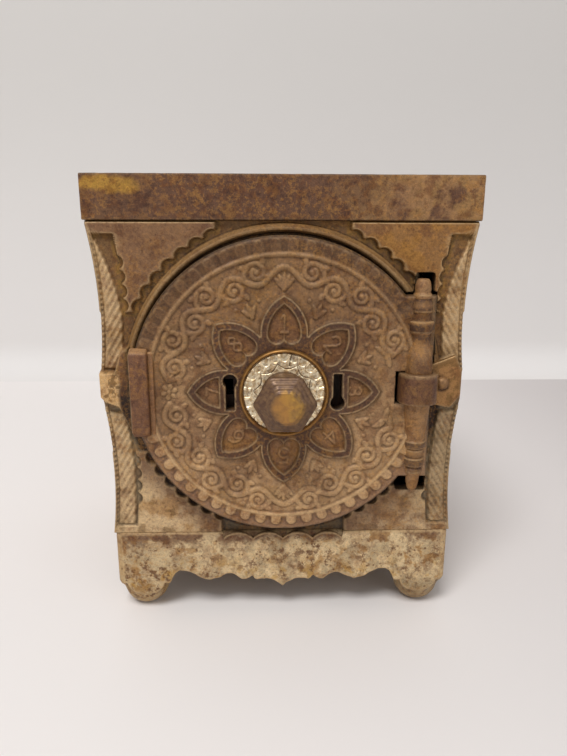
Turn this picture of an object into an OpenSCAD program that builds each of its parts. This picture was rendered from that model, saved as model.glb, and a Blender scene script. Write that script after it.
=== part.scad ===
// Safe coin bank of cast iron: a footed case with a round door on a baluster hinge,
// and a combination dial whose gated discs hold the door on a hooked strike.
// Front faces -Y, the floor is z = 0, and the origin is in the middle of the footprint.

/* [Case] */
// Height from the floor to the top plate's face
bank_h = 149.3; // [142:0.1:158]
// Width of the top plate
top_w = 123.4; // [121:0.2:130]
// Depth of the top plate, front to back
top_d = 106; // [96:1:125]
// Height of the top plate's rim
top_h = 13.7; // [11:0.1:16]
// Thickness of the top plate and its rim
top_wall = 3; // [2.4:0.1:4]
// Height of the base, from the floor to its seam
base_h = 30.6; // [28:0.1:33]
// How far each side of the base stands inside the foot of the walls
base_in = 0.4; // [0:0.1:2]
// Thickness of the base's skirt and floor
base_wall = 3; // [2.4:0.1:4]
// Thickness of the side walls
side_wall = 2.8; // [2.2:0.1:3.6]
// Thickness of the front and back plates
plate_t = 3.2; // [2.6:0.1:4]
// How far each wall stands inside the top plate's edge
wall_in = 0.5; // [0:0.1:1.5]
// How far the belt beside the hinge stands inside the top of the wall
belt_in = 1.8; // [0.6:0.1:2.4]
// How far the foot of each wall stands inside its top
foot_in = 2.6; // [1:0.1:3]
// Height of the belt between the two waists
belt_h = 10; // [8:0.5:14]
// How far the upper waist is drawn in
upper_sag = 2; // [1:0.1:3]
// How far the lower waist is drawn in
lower_sag = 1.9; // [0.8:0.1:2.4]
// Rounding of the case's upright corners
corner_r = 2; // [1:0.1:3]

/* [Relief] */
// Height of the corner plates above the field
relief = 1.5; // [0.8:0.1:1.8]
// Set-back of the corner plates behind the top plate's face
plate_set = 0.3; // [0.1:0.1:0.8]
// Distance of the corner plates' inner edge from the door's edge
scallop_gap = 5.7; // [5.1:0.1:6.7]
// Radius of each scallop
scallop_r = 2.7; // [2.2:0.1:3.2]
// Half distance between the tips of the two upper corner plates
plate_tip_x = 21.2; // [18:0.2:26]
// Width of the fluted pilasters
pilaster_w = 5.8; // [5:0.1:7]
// Height of one flute's step
flute_pitch = 4.2; // [3.4:0.1:6]

/* [Coin slot] */
// Length of the slot
slot_l = 40; // [32:1:46]
// Width of the slot
slot_w = 3.4; // [2.8:0.1:5]

/* [Feet] */
// Radius of a foot
foot_r = 8.2; // [7:0.1:9]
// Radius of the flat that a foot stands on
foot_flat_r = 3.2; // [2.4:0.1:4]
// Height of the base's lower edge at its corners
foot_h = 10.8; // [9:0.1:12]

/* [Door] */
// Least distance from the door's edge to the seams above and below it
door_gap = 3.9; // [3.4:0.1:8]
// Least distance from the door's edge to the side of the belt
door_side = 11.1; // [10.4:0.1:14]
// Thickness of the door's face
door_t = 3.2; // [2.6:0.1:3.6]
// How far the door's face stands in front of the top plate
door_proud = 6.5; // [5.5:0.1:7.5]
// Thickness of the skirt round the door's back
skirt_t = 3; // [2.2:0.1:4]
// How far the door overlaps the frame round the opening
door_lap = 3.8; // [3.2:0.1:5]
// Width of the lobed rim outside the raised line
rim_w = 5.6; // [4.8:0.1:6.8]
// Number of lobes round the rim
lobes = 54; // [40:1:60]
// Radius from the centre to a petal's tip
petal_r = 30.8; // [29.5:0.1:32]
// Width of a petal
petal_w = 15.2; // [14.6:0.1:15.8]
// Height of the rosette above the field
rosette_h = 1.2; // [0.8:0.1:1.6]
// Distance of each keyhole from the door's centre
keyhole_x = 17; // [16.6:0.1:17.8]
// Height of a keyhole
keyhole_h = 11.7; // [9:0.1:13]

/* [Hinge] */
// Distance of the hinge axis inside the door's edge
hinge_in = 5.5; // [5.1:0.1:5.9]
// Radius of the baluster's journal
journal_r = 4.4; // [3.8:0.1:4.5]
// Radial running clearance of the journal in the strap
journal_clear = 0.06; // [0.02:0.01:0.1]
// Thickness of the strap's eye
eye_t = 1.9; // [1.4:0.1:2.1]
// Height of the strap's eye
eye_h = 9.8; // [8:0.1:11]
// Height of the baluster, tip to finial
baluster_h = 70.6; // [66:0.2:74]

/* [Dial] */
// Radius of the bezel
bezel_r = 13.8; // [13:0.1:14.2]
// Radius of the nickelled plate
dial_r = 12.5; // [11.6:0.1:12.6]
// Width of the knob across its corners
knob_w = 20.6; // [18:0.1:22]
// How far the knob reaches in front of the top plate
knob_reach = 25; // [22:0.1:28]
// Radius of the spindle
spindle_r = 2.4; // [2:0.1:2.8]
// Radial running clearance of the spindle
spindle_clear = 0.06; // [0.02:0.01:0.1]

/* [Lock] */
// Radius of the tumbler discs
disc_r = 23.5; // [22:0.1:25]
// Thickness of a disc
disc_t = 2; // [1.6:0.1:2.2]
// Gap between neighbouring discs
disc_gap = 0.3; // [0.2:0.05:0.5]
// Width of the gate in a disc
gate_w = 5.2; // [4.8:0.1:6]
// Radius of the gate's floor
gate_r = 16.4; // [15.5:0.1:17]
// Width of the strike's nose
nose_w = 3.6; // [3:0.1:4]
// How far the nose overlaps the discs
nose_lap = 3.8; // [3:0.1:4.5]

/* [Hidden] */

$fn = 64;
eps = 0.01;
reach = 200;
fit_gap = 0.02;

// Heights
lid_z = bank_h - top_h;
door_z = (base_h + lid_z) / 2;
belt_lo = door_z - belt_h / 2;
belt_hi = door_z + belt_h / 2;
wall_h = lid_z - base_h;
base_floor_z = base_h - base_wall;

// Widths
wall_top_w = top_w - 2 * wall_in;
belt_w = wall_top_w - 2 * belt_in;
wall_foot_w = wall_top_w - 2 * foot_in;
base_w = wall_foot_w - 2 * base_in;

// Depths, with y = 0 at the top plate's face and the door standing at negative y
plate_y = plate_set;
field_y = plate_set + relief;
frame_back_y = field_y + plate_t;
rear_field_y = top_d - field_y;
rear_plate_y = rear_field_y - plate_t;
face_y = -door_proud;
door_back_y = face_y + door_t;
skirt_y = field_y - 0.3;
rosette_y = face_y - rosette_h;
hinge_y = face_y + 1;
lug_plate_t = 1.8;
lug_y = -0.2;
lug_face_y = lug_y - lug_plate_t;
centre_y = (top_d - knob_reach) / 2;

// The door is as large as the case's width and height allow
door_r = min(belt_w / 2 - door_side, wall_h / 2 - door_gap);
opening_r = door_r - door_lap;
field_r = door_r - rim_w;
hinge_x = door_r - hinge_in;
scallop_ring_r = door_r + scallop_gap;

// Front frame
moulding_r = door_r + 1;
moulding_w = 2.3;
moulding_y = -1;
pilaster_gap = 1.4;
corner_drop = 25.3;
lobe_left = 5.3;
lobe_gap = 0.5;
lobe_top = sqrt(door_r * door_r - pow(hinge_x - lobe_left, 2)) - 0.1;
lobe_foot = lobe_top - 0.8;
lug_gap = 0.6;
lug_x = hinge_x + journal_r + lug_gap;
lug_edge_x = belt_w / 2 - 1.2;
lug_top = 10.6;
lug_foot = 7.2;
left_lug_x = -door_r - 1;
left_lug_top = 13.6;
left_lug_foot = 14.4;
notch_left = 4.4;
notch_right = 6.4;
notch_top = 36.9;
notch_foot = 37.2;
notch_neck_left = 1;
notch_neck_right = 5.3;
sweep_steps = 14;

// Side and back panels
panel_edge = 11;
panel_relief = 1;

// Base and feet
edge_break = 0.6;
foot_inset = 0.4;
foot_x = base_w / 2 - foot_r - foot_inset;
foot_front_y = foot_r + foot_inset;
foot_rear_y = top_d - foot_front_y;
ball_z = sqrt(foot_r * foot_r - foot_flat_r * foot_flat_r);
tab_r = foot_r * 0.8;
tab_drop = foot_r * 0.55;
apron_half = foot_x - foot_r * 1.2;
crest_half = 20.8;
crest_drop = 2.2;

// Tie rods
tie_r = 2;
tie_clear = 0.15;
tie_boss_r = 4.4;
tie_x = wall_foot_w / 2 - side_wall - lower_sag - tie_boss_r - 2;
tie_front_y = foot_front_y + foot_r + tie_boss_r + 1.2;
tie_rear_y = top_d - tie_front_y;
tie_tip_z = bank_h - top_wall - 1.5;
tie_washer_t = 1;
tie_nut_t = 3;

// Door
window_x = hinge_x - journal_r - eye_t - 1.1;
lobe_edge_x = hinge_x + journal_r;
petal_waist = 18.8;
heart_cut = 20.6;
grip_x = -hinge_x - 2.5;
grip_w = 5.8;
grip_reach = 2.5;
post_r = 3;
post_ring = door_r - skirt_t - 4 * post_r;
post_angles = [90, 270];

// Hinge
baluster_foot = door_z + 0.4 - baluster_h / 2;
eye_z = door_z + 1.1;
window_h = eye_h + 0.8;
strap_rivet_x = (lug_x + lug_edge_x) / 2 - 2 * lug_gap;
strap_rivet_z = door_z + 1.4;
rivet_r = 1.5;
rivet_clear = 0.05;

// Lock layers, front to back
nose_t = 2;
nose_y = door_back_y + 0.7;
cam_y = nose_y + nose_t + 0.4;
front_disc_y = cam_y + disc_t + disc_gap;
rear_disc_y = front_disc_y + disc_t + disc_gap;
bridge_y = rear_disc_y + disc_t + disc_gap;
bridge_t = 2;
bridge_half = 4.4;
nut_t = 2.6;
nut_w = 9;
nut_y = bridge_y + bridge_t + 0.9;
drive_ring = 9.6;
drive_pin_r = 1.2;
groove_half = 1.5;
groove_depth = disc_t * 0.6;
stop_half = 1.6;

// Strike
screw_r = 1.3;
screw_head_r = 2 * screw_r;
screw_head_t = 1.5;
screw_slot_w = 0.7;
screw_slot_t = 0.6;
screw_bite = 2.4;
strike_t = 1.8;
strike_gap = 0.4;
strike_screw_z = 13;
strike_half = strike_screw_z + screw_head_r + strike_gap;
strike_x = -waist_at(door_z - strike_half) + side_wall + strike_gap;
strike_screw_x = strike_x + screw_head_r + strike_gap;
strike_step_x = -opening_r + 0.8;

// Dial
dial_back_y = rosette_y - 0.4;
dial_face_y = dial_back_y - 1.4;
knob_neck_r = 6.6;
knob_head_y = -knob_reach + 3.4;
knob_pin_r = 0.9;
knob_pin_y = dial_face_y - 5;
spindle_tip_y = -knob_reach + 6;
spindle_end_y = nut_y + nut_t + 0.8;

// One concave sweep of a wall's outline, as points of half width and height
function sweep(a, b, sag) = [for (i = [0 : sweep_steps])
    let (t = i / sweep_steps)
    [a[0] + (b[0] - a[0]) * t - 4 * sag * t * (1 - t), a[1] + (b[1] - a[1]) * t]];

function wall_points(grow) = [for (p = concat(
    sweep([wall_foot_w / 2, base_h], [belt_w / 2, belt_lo], lower_sag),
    sweep([belt_w / 2, belt_hi], [wall_top_w / 2, lid_z], upper_sag)))
    [p[0] + grow, p[1]]];

function mirrored(points) = [for (i = [len(points) - 1 : -1 : 0])
    [-points[i][0], points[i][1]]];

// A flat shape drawn in width and height, standing from depth y0 to y1
module upright(y0, y1) {
    translate([0, y1, 0])
        rotate([90, 0, 0])
            linear_extrude(height = y1 - y0) children();
}

// A round bar along Y
module bar_y(r, y0, y1, x = 0, z = door_z) {
    translate([x, y1, z])
        rotate([90, 0, 0])
            cylinder(r = r, h = y1 - y0);
}

// A turned shape about the door's axis, its points as radius and reach to the front
module turned_y(points) {
    translate([0, 0, door_z])
        rotate([90, 0, 0])
            rotate_extrude() polygon(points);
}

module block(x0, x1, y0, y1, z0, z1) {
    translate([x0, y0, z0])
        cube([x1 - x0, y1 - y0, z1 - z0]);
}

module mirror_x() {
    children();
    mirror([1, 0, 0]) children();
}

// Everything is drawn from the top plate's face and then centred on the footprint
module placed() {
    translate([0, -centre_y, 0]) children();
}

module wall_outline(grow = 0) {
    polygon(concat(wall_points(grow), mirrored(wall_points(grow))));
}

// Corner plates, pilasters and lugs of the front

module pilaster_strip() {
    // The strip beside the wall's edge, between two level cuts
    difference() {
        wall_outline(-pilaster_gap);
        wall_outline(-pilaster_gap - pilaster_w);
    }
}

module upper_pilaster() {
    intersection() {
        pilaster_strip();
        translate([0, belt_hi + 2])
            square([reach, lid_z - belt_hi - 6.2]);
    }
}

module lower_pilaster() {
    intersection() {
        pilaster_strip();
        translate([0, base_h + 3])
            square([reach, belt_lo - base_h - 9]);
    }
}

module flute_bars() {
    bar_w = flute_pitch * 0.42;
    rows = ceil(wall_h / flute_pitch) + 4;
    for (i = [0 : rows])
        translate([wall_top_w / 2 - pilaster_gap, base_h + (i - 3) * flute_pitch])
            rotate(122)
                translate([-6, -bar_w / 2])
                    square([24, bar_w]);
}

module flutes() {
    intersection() {
        union() {
            upper_pilaster();
            lower_pilaster();
        }
        flute_bars();
    }
}

module scallop_bites() {
    step = 2 * asin(scallop_r * 1.02 / scallop_ring_r);
    turns = floor(360 / step);
    for (i = [0 : turns - 1])
        translate([0, door_z])
            rotate(i * 360 / turns)
                translate([scallop_ring_r - 1.9, 0])
                    circle(r = scallop_r);
}

module pilaster_bites() {
    // Scallops along the corner plate's upright edge, following the pilaster
    count = 5;
    for (i = [0 : count - 1], side = [1, -1]) {
        z = door_z + side * (wall_h / 2 - 9 - i * 5.2);
        translate([waist_at(z) - pilaster_gap - pilaster_w - 0.6, z])
            circle(r = 2.9);
    }
}

// Half width of the wall at a height, read off the same two sweeps
function waist_at(z) = z > belt_hi
    ? let (t = (z - belt_hi) / (lid_z - belt_hi))
        (belt_w + (wall_top_w - belt_w) * t) / 2 - 4 * upper_sag * t * (1 - t)
    : let (t = (z - base_h) / (belt_lo - base_h))
        (wall_foot_w + (belt_w - wall_foot_w) * t) / 2 - 4 * lower_sag * t * (1 - t);

module corner_plates() {
    difference() {
        intersection() {
            wall_outline();
            union() {
                for (side = [1, -1])
                    translate([plate_tip_x, door_z + side * (corner_drop + reach / 2) - reach / 2])
                        square([reach, reach]);
            }
        }
        translate([0, door_z])
            circle(r = scallop_ring_r - 0.6, $fn = 120);
        scallop_bites();
        difference() {
            wall_outline(-pilaster_gap + 0.7);
            wall_outline(-pilaster_gap - pilaster_w - 0.9);
            translate([0, lid_z - 4])
                square([reach, reach]);
            translate([0, base_h - reach + 2.6])
                square([reach, reach]);
        }
        pilaster_bites();
    }
}

module left_lug_shape() {
    // The lug that the grip bar closes against
    edge_x = -belt_w / 2 - 0.6;
    polygon([[left_lug_x, door_z + left_lug_top], [left_lug_x - 2.6, door_z + left_lug_top - 1.4],
        [left_lug_x - 5.2, door_z + belt_h / 2], [edge_x, door_z + belt_h / 2],
        [edge_x, door_z - belt_h / 4], [left_lug_x - 8.6, door_z - belt_h / 2],
        [left_lug_x - 4.3, door_z - belt_h / 2 - 1.6],
        [left_lug_x - 0.9, door_z - left_lug_foot], [left_lug_x, door_z - left_lug_foot]]);
}

module right_lug_shape() {
    // The five-sided pad under the strap, and the strap's own plate
    shoulder = lug_top * 0.7;
    polygon([[lug_x, door_z + shoulder], [lug_edge_x - lug_top * 0.22, door_z + lug_top],
        [lug_edge_x, door_z + belt_h / 2], [lug_edge_x, door_z - belt_h * 0.3],
        [lug_edge_x - lug_foot * 0.46, door_z - lug_foot], [lug_x, door_z - lug_foot * 0.78]]);
}

// The cut-out in the frame that the baluster stands in, narrower round its finial
module hinge_notch() {
    neck_z = door_z + lobe_top + lobe_gap;
    corner = 1.4;
    translate([hinge_x - notch_left, door_z - notch_foot])
        square([notch_left + notch_right, notch_foot + lobe_top + lobe_gap]);
    translate([hinge_x - notch_neck_left, neck_z - 1])
        square([notch_neck_left + notch_neck_right, door_z + notch_top - corner - neck_z + 1]);
    translate([hinge_x - notch_neck_left + corner, neck_z])
        square([notch_neck_left + notch_neck_right - 2 * corner, door_z + notch_top - neck_z]);
    for (x = [hinge_x - notch_neck_left + corner, hinge_x + notch_neck_right - corner])
        translate([x, door_z + notch_top - corner])
            circle(r = corner);
}

module front_frame() {
    color("tan") placed() {
        difference() {
            union() {
                upright(field_y, frame_back_y) wall_outline();
                upright(plate_y, field_y + eps)
                    mirror_x() corner_plates();
                upright(field_y - 0.9, field_y + eps)
                    mirror_x() flutes();
                upright(lug_face_y, field_y + eps) left_lug_shape();
                upright(lug_y, field_y + eps) right_lug_shape();
                intersection() {
                    turned_y([[moulding_r, -field_y - eps], [moulding_r, -moulding_y - 0.5],
                        [moulding_r + 0.5, -moulding_y], [moulding_r + 1.2, -moulding_y],
                        [moulding_r + moulding_w, -plate_y], [moulding_r + moulding_w, -field_y - eps]]);
                    upright(moulding_y - 1, frame_back_y) wall_outline();
                }
            }
            bar_y(opening_r, moulding_y - 2, frame_back_y + 1, $fn = 160);
            upright(moulding_y - 2, frame_back_y + 1) hinge_notch();
            block(lug_x - lug_gap, belt_w / 2, moulding_y - 1, lug_y,
                door_z - lug_foot - lug_gap / 2, door_z + lug_top + lug_gap / 2);
            rivet_hole(strap_rivet_x, strap_rivet_z);
            for (side = [-1, 1])
                bar_y(screw_r + fit_gap, frame_back_y - screw_bite - 0.3, frame_back_y + 1,
                    x = strike_screw_x, z = door_z + side * strike_screw_z);
        }
    }
}

// Walls

module side_shell(y0, y1, out, inset) {
    upright(y0, y1)
        difference() {
            wall_outline(out);
            wall_outline(inset);
            translate([-reach, 0])
                square([reach, reach]);
        }
}

module panel_border(length, height, count) {
    // A raised border whose inner edge is scalloped, centred on the panel
    pitch = (length - 2 * panel_edge) / count;
    rise = (height - 2 * panel_edge) / count;
    difference() {
        square([length - 6, height - 6], center = true);
        square([length - 2 * panel_edge, height - 2 * panel_edge], center = true);
        for (i = [0 : count - 1], side = [1, -1]) {
            translate([(i + 0.5) * pitch - length / 2 + panel_edge, side * (height / 2 - panel_edge)])
                circle(r = pitch * 0.42);
            translate([side * (length / 2 - panel_edge), (i + 0.5) * rise - height / 2 + panel_edge])
                circle(r = rise * 0.42);
        }
    }
}

module side_panel() {
    length = rear_plate_y - frame_back_y;
    union() {
        side_shell(frame_back_y, rear_plate_y, 0, -side_wall);
        intersection() {
            side_shell(frame_back_y, rear_plate_y, panel_relief, -side_wall / 2);
            translate([belt_w / 2 - 8, (frame_back_y + rear_plate_y) / 2, (base_h + lid_z) / 2])
                rotate([90, 0, 90])
                    linear_extrude(height = 20) panel_border(length, wall_h, 7);
        }
    }
}

module right_side() {
    color("darkkhaki") placed() side_panel();
}

module left_side() {
    color("darkkhaki") placed() mirror([1, 0, 0]) side_panel();
}

module back_plate() {
    color("peru") placed() {
        upright(rear_plate_y, rear_field_y) wall_outline();
        upright(rear_field_y - eps, rear_field_y + panel_relief)
            translate([0, door_z])
                panel_border(2 * waist_at(belt_lo - 20) - 2, wall_h, 7);
    }
}

// Top plate, base and tie rods

module each_tie() {
    for (x = [-tie_x, tie_x], y = [tie_front_y, tie_rear_y])
        translate([x, y, 0]) children();
}

module rounded_slab(width, y0, y1, z0, z1, r) {
    union() {
        block(-width / 2 + r, width / 2 - r, y0, y1, z0, z1);
        block(-width / 2, width / 2, y0 + r, y1 - r, z0, z1);
        for (x = [-width / 2 + r, width / 2 - r], y = [y0 + r, y1 - r])
            translate([x, y, z0])
                cylinder(r = r, h = z1 - z0);
    }
}

module top_plate() {
    color("saddlebrown") placed() {
        difference() {
            union() {
                rounded_slab(top_w - 2 * edge_break, edge_break, top_d - edge_break,
                    lid_z, bank_h, corner_r);
                rounded_slab(top_w, 0, top_d, lid_z + edge_break, bank_h - edge_break, corner_r);
            }
            block(-top_w / 2 + top_wall, top_w / 2 - top_wall, top_wall + field_y,
                top_d - top_wall - field_y, lid_z - 1, bank_h - top_wall);
            translate([0, top_d / 2, 0])
                union() {
                    block(-slot_l / 2 + slot_w / 2, slot_l / 2 - slot_w / 2,
                        -slot_w / 2, slot_w / 2, lid_z, bank_h + 1);
                    for (x = [-slot_l / 2 + slot_w / 2, slot_l / 2 - slot_w / 2])
                        translate([x, 0, lid_z])
                            cylinder(r = slot_w / 2, h = top_h + 1);
                }
        }
        difference() {
            each_tie()
                translate([0, 0, lid_z])
                    cylinder(r = tie_boss_r, h = top_h - top_wall + eps);
            each_tie()
                translate([0, 0, lid_z - 1])
                    cylinder(r = tie_r + tie_clear, h = tie_tip_z - lid_z + 1.5);
        }
    }
}

// The apron's lower edge from its middle outward, as shares of its half width and
// heights above the base's corners
apron_edge = [[0, -1.8], [0.04, -0.3], [0.105, 1.1], [0.15, 1.4], [0.19, 1.2], [0.235, 1],
    [0.255, 1.6], [0.273, 2.9], [0.291, 1.8], [0.325, 1.2], [0.365, 1.1], [0.408, 2.4],
    [0.435, 3.2], [0.465, 3.6], [0.5, 3.3], [0.56, 2.1], [0.605, 1.4], [0.65, 1.1],
    [0.7, 1.4], [0.745, 2.2], [0.785, 3.3], [0.83, 4.3], [0.875, 4.8], [0.92, 4.8],
    [0.955, 3.9], [0.98, 2.2], [1, 0]];

// Air under the apron, in one elevation of the base
module apron_air(half_w) {
    last = len(apron_edge) - 1;
    polygon(concat([[half_w, -1], [half_w, foot_h]],
        [for (i = [last - 1 : -1 : 0]) [half_w * apron_edge[i][0], foot_h + apron_edge[i][1]]],
        [for (i = [1 : last - 1]) [-half_w * apron_edge[i][0], foot_h + apron_edge[i][1]]],
        [[-half_w, foot_h], [-half_w, -1]]));
}

// A ball with a flat to stand on
module foot() {
    low = asin(ball_z / foot_r);
    rotate_extrude()
        polygon(concat([[0, 0], [foot_flat_r, 0]],
            [for (i = [1 : 8]) let (a = low * (i / 8 - 1))
                [foot_r * cos(a), ball_z + foot_r * sin(a)]],
            [[foot_r, foot_h + 4], [0, foot_h + 4]]));
}

// The apron's round tab in front of a foot
module foot_tab(place) {
    translate([place, foot_h + 0.4])
        scale([1, (tab_drop + 0.4) / tab_r])
            circle(r = tab_r);
}

module crest_notch() {
    // Four shallow arches along the seam under the door
    arc_w = crest_half / 2;
    arc_r = (arc_w * arc_w / 4 + crest_drop * crest_drop) / (2 * crest_drop);
    difference() {
        translate([-crest_half, base_h - crest_drop])
            square([2 * crest_half, crest_drop + 1]);
        for (i = [-1.5 : 1 : 1.5])
            translate([i * arc_w, base_h - arc_r])
                circle(r = arc_r, $fn = 120);
    }
}

module base() {
    color("wheat") placed() {
        difference() {
            union() {
                rounded_slab(base_w, 0, top_d, foot_h, base_h, corner_r);
                for (x = [-foot_x, foot_x], y = [0, top_d - base_wall])
                    upright(y, y + base_wall) foot_tab(x - sign(x) * 1.1);
                for (x = [-base_w / 2, base_w / 2 - base_wall], y = [foot_front_y, foot_rear_y])
                    translate([x, 0, 0])
                        rotate([90, 0, 90])
                            linear_extrude(height = base_wall)
                                foot_tab(y + sign(top_d / 2 - y) * 0.6);
                for (x = [-foot_x, foot_x], y = [foot_front_y, foot_rear_y])
                    translate([x, y, 0]) foot();
            }
            difference() {
                block(-base_w / 2 + base_wall, base_w / 2 - base_wall, base_wall,
                    top_d - base_wall, -1, base_floor_z);
                for (x = [-foot_x, foot_x], y = [foot_front_y, foot_rear_y])
                    translate([x, y, -2])
                        cylinder(r = foot_r, h = reach);
            }
            upright(-1, top_d + 1) apron_air(apron_half);
            translate([-base_w / 2 - 1, top_d / 2, 0])
                rotate([90, 0, 90])
                    linear_extrude(height = base_w + 2)
                        apron_air(top_d / 2 - foot_front_y - foot_r * 1.2);
            upright(-1, plate_y + 1) crest_notch();
            each_tie()
                translate([0, 0, base_floor_z - 1])
                    cylinder(r = tie_r + tie_clear, h = base_wall + 2);
        }
    }
}

module tie_rods() {
    color("dimgray") placed()
        each_tie()
            translate([0, 0, base_floor_z - tie_washer_t - tie_nut_t - 0.8])
                cylinder(r = tie_r, h = tie_tip_z - base_floor_z + tie_washer_t + tie_nut_t + 0.8);
}

module tie_washers() {
    color("gray") placed()
        each_tie()
            translate([0, 0, base_floor_z - tie_washer_t])
                difference() {
                    cylinder(r = tie_boss_r, h = tie_washer_t);
                    translate([0, 0, -1])
                        cylinder(r = tie_r + tie_clear, h = tie_washer_t + 2);
                }
}

module tie_nuts() {
    color("gray") placed()
        each_tie()
            translate([0, 0, base_floor_z - tie_washer_t - tie_nut_t])
                difference() {
                    rotate(45)
                        cylinder(r = tie_boss_r, h = tie_nut_t, $fn = 4);
                    translate([0, 0, -1])
                        cylinder(r = tie_r + tie_clear / 3, h = tie_nut_t + 2);
                }
}

// Door

module petal(length, width, waist) {
    // Two arcs that meet in a tip at the given length, widest at the waist
    run = length - waist;
    arc_r = (run * run + width * width / 4) / width;
    intersection() {
        translate([waist, arc_r - width / 2])
            circle(r = arc_r);
        translate([waist, width / 2 - arc_r])
            circle(r = arc_r);
    }
}

module rosette() {
    for (i = [0 : 7])
        rotate(i * 45)
            petal(petal_r, petal_w, petal_waist);
    circle(r = petal_waist + 0.8, $fn = 120);
}

module heart(flattened) {
    // A heart with its tip outward; beside a keyhole its lobes are cut off
    intersection() {
        union() {
            intersection() {
                petal(petal_r - 3.2, petal_w * 0.645, petal_waist - 0.4);
                translate([petal_waist - 0.4, -10])
                    square([20, 20]);
            }
            for (side = [-1, 1])
                translate([petal_waist - 0.5, side * petal_w * 0.158])
                    circle(r = petal_w * 0.163);
        }
        translate([flattened ? heart_cut : 0, -20])
            square([40, 40]);
    }
}

module keyhole(x, flip) {
    head_r = 1.9;
    slot_half = 1.4;
    translate([x, door_z])
        scale([1, flip ? -1 : 1])
            union() {
                translate([0, keyhole_h / 2 - head_r])
                    circle(r = head_r);
                translate([-slot_half, -keyhole_h / 2])
                    square([2 * slot_half, keyhole_h - head_r]);
            }
}

module door_outline() {
    difference() {
        union() {
            intersection() {
                translate([0, door_z])
                    circle(r = door_r, $fn = 160);
                translate([-reach, 0])
                    square([reach + lobe_edge_x, reach]);
            }
            translate([hinge_x - lobe_left, door_z - lobe_foot])
                square([journal_r + lobe_left, lobe_top + lobe_foot]);
        }
        translate([window_x, eye_z - window_h / 2])
            square([reach, window_h]);
    }
}

module grip_bar() {
    // A square bar with bevelled ends, and the thin rib beside it
    translate([grip_x - grip_w / 2, 0, door_z])
        rotate([90, 0, 90])
            linear_extrude(height = grip_w)
                polygon([[face_y + 1, -15], [face_y, -15], [face_y - grip_reach, -13.2],
                    [face_y - grip_reach, 12.6], [face_y, 14], [face_y + 1, 14]]);
    block(grip_x + grip_w / 2 + 0.5, grip_x + grip_w / 2 + 1.5, face_y - 0.9, face_y + 1,
        door_z - 14, door_z + 13);
}

// Baluster profile: height as a share of its whole height, and radius as a share of the journal's
baluster_steps = [[0, 0.3], [0.03, 0.58], [0.09, 0.7], [0.095, 0.76], [0.125, 0.76],
    [0.13, 0.68], [0.15, 0.68], [0.155, 0.82], [0.185, 0.82], [0.19, 0.74], [0.235, 0.77],
    [0.265, 0.88], [0.3, 0.95], [0.33, 1], [0.62, 1], [0.66, 0.97], [0.7, 0.86],
    [0.735, 0.78], [0.745, 0.95], [0.775, 0.95], [0.785, 0.8], [0.8, 0.92], [0.83, 0.92],
    [0.84, 0.78], [0.85, 0.93], [0.885, 0.93], [0.895, 0.74], [0.915, 0.84], [0.94, 0.84],
    [0.95, 0.6], [0.985, 0.54], [1, 0.36]];
module baluster() {
    translate([hinge_x, hinge_y, baluster_foot])
        rotate_extrude()
            polygon(concat([[0, 0]],
                [for (s = baluster_steps) [s[1] * journal_r, s[0] * baluster_h]],
                [[0, baluster_h]]));
}

module door() {
    color("rosybrown") placed() {
        difference() {
            union() {
                upright(face_y, door_back_y) door_outline();
                difference() {
                    intersection() {
                        bar_y(door_r, door_back_y - eps, skirt_y, $fn = 160);
                        block(-reach, hinge_x - 2.8, door_back_y - 1, skirt_y + 1, 0, reach);
                    }
                    bar_y(door_r - skirt_t, door_back_y - 1, skirt_y + 1, $fn = 160);
                    block(window_x, reach, face_y, skirt_y + 1,
                        eye_z - window_h / 2, eye_z + window_h / 2);
                }
                intersection() {
                    union() {
                        turned_y([[field_r - 0.7, -face_y - eps], [field_r - 0.4, -face_y + 0.6],
                            [field_r + 0.4, -face_y + 0.6], [field_r + 0.7, -face_y - eps]]);
                        for (i = [0 : lobes - 1])
                            translate([0, 0, door_z])
                                rotate([0, (i + 0.5) * 360 / lobes, 0])
                                    translate([0, face_y + eps, field_r + 2.6])
                                        rotate([90, 0, 0])
                                            cylinder(r = 1.6, h = 0.5, $fn = 24);
                    }
                    upright(face_y - 2, face_y + 1) door_outline();
                }
                upright(rosette_y, face_y + eps)
                    translate([0, door_z]) rosette();
                grip_bar();
                baluster();
                bar_y(5.5, door_back_y - eps, cam_y - 0.15);
                for (a = post_angles)
                    bar_y(post_r, door_back_y - eps, bridge_y,
                        x = post_ring * cos(a), z = door_z + post_ring * sin(a));
            }
            upright(rosette_y - 1, face_y - 0.1)
                translate([0, door_z])
                    for (i = [0 : 7])
                        rotate(i * 45) heart(i % 4 == 0);
            upright(rosette_y - 1, door_back_y + 1) {
                keyhole(-keyhole_x, false);
                keyhole(keyhole_x, true);
            }
            bar_y(spindle_r + spindle_clear, rosette_y - 1, cam_y + 1);
            for (a = post_angles)
                bar_y(screw_r + fit_gap, door_back_y + 1.5, bridge_y + 1,
                    x = post_ring * cos(a), z = door_z + post_ring * sin(a));
        }
    }
}

// Hinge strap

module rivet_hole(x, z) {
    bar_y(rivet_r + rivet_clear, lug_y - reach, frame_back_y + reach, x = x, z = z);
}

module hinge_strap() {
    eye_r = journal_r + journal_clear;
    color("dimgray") placed()
        difference() {
            union() {
                translate([hinge_x, hinge_y, eye_z - eye_h / 2])
                    cylinder(r = eye_r + eye_t, h = eye_h);
                block(hinge_x, lug_x + lug_gap, lug_face_y, lug_y,
                    eye_z - eye_h / 2, eye_z + eye_h / 2);
                upright(lug_face_y, lug_y) right_lug_shape();
            }
            translate([hinge_x, hinge_y, 0])
                cylinder(r = eye_r, h = reach);
            rivet_hole(strap_rivet_x, strap_rivet_z);
        }
}

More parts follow.
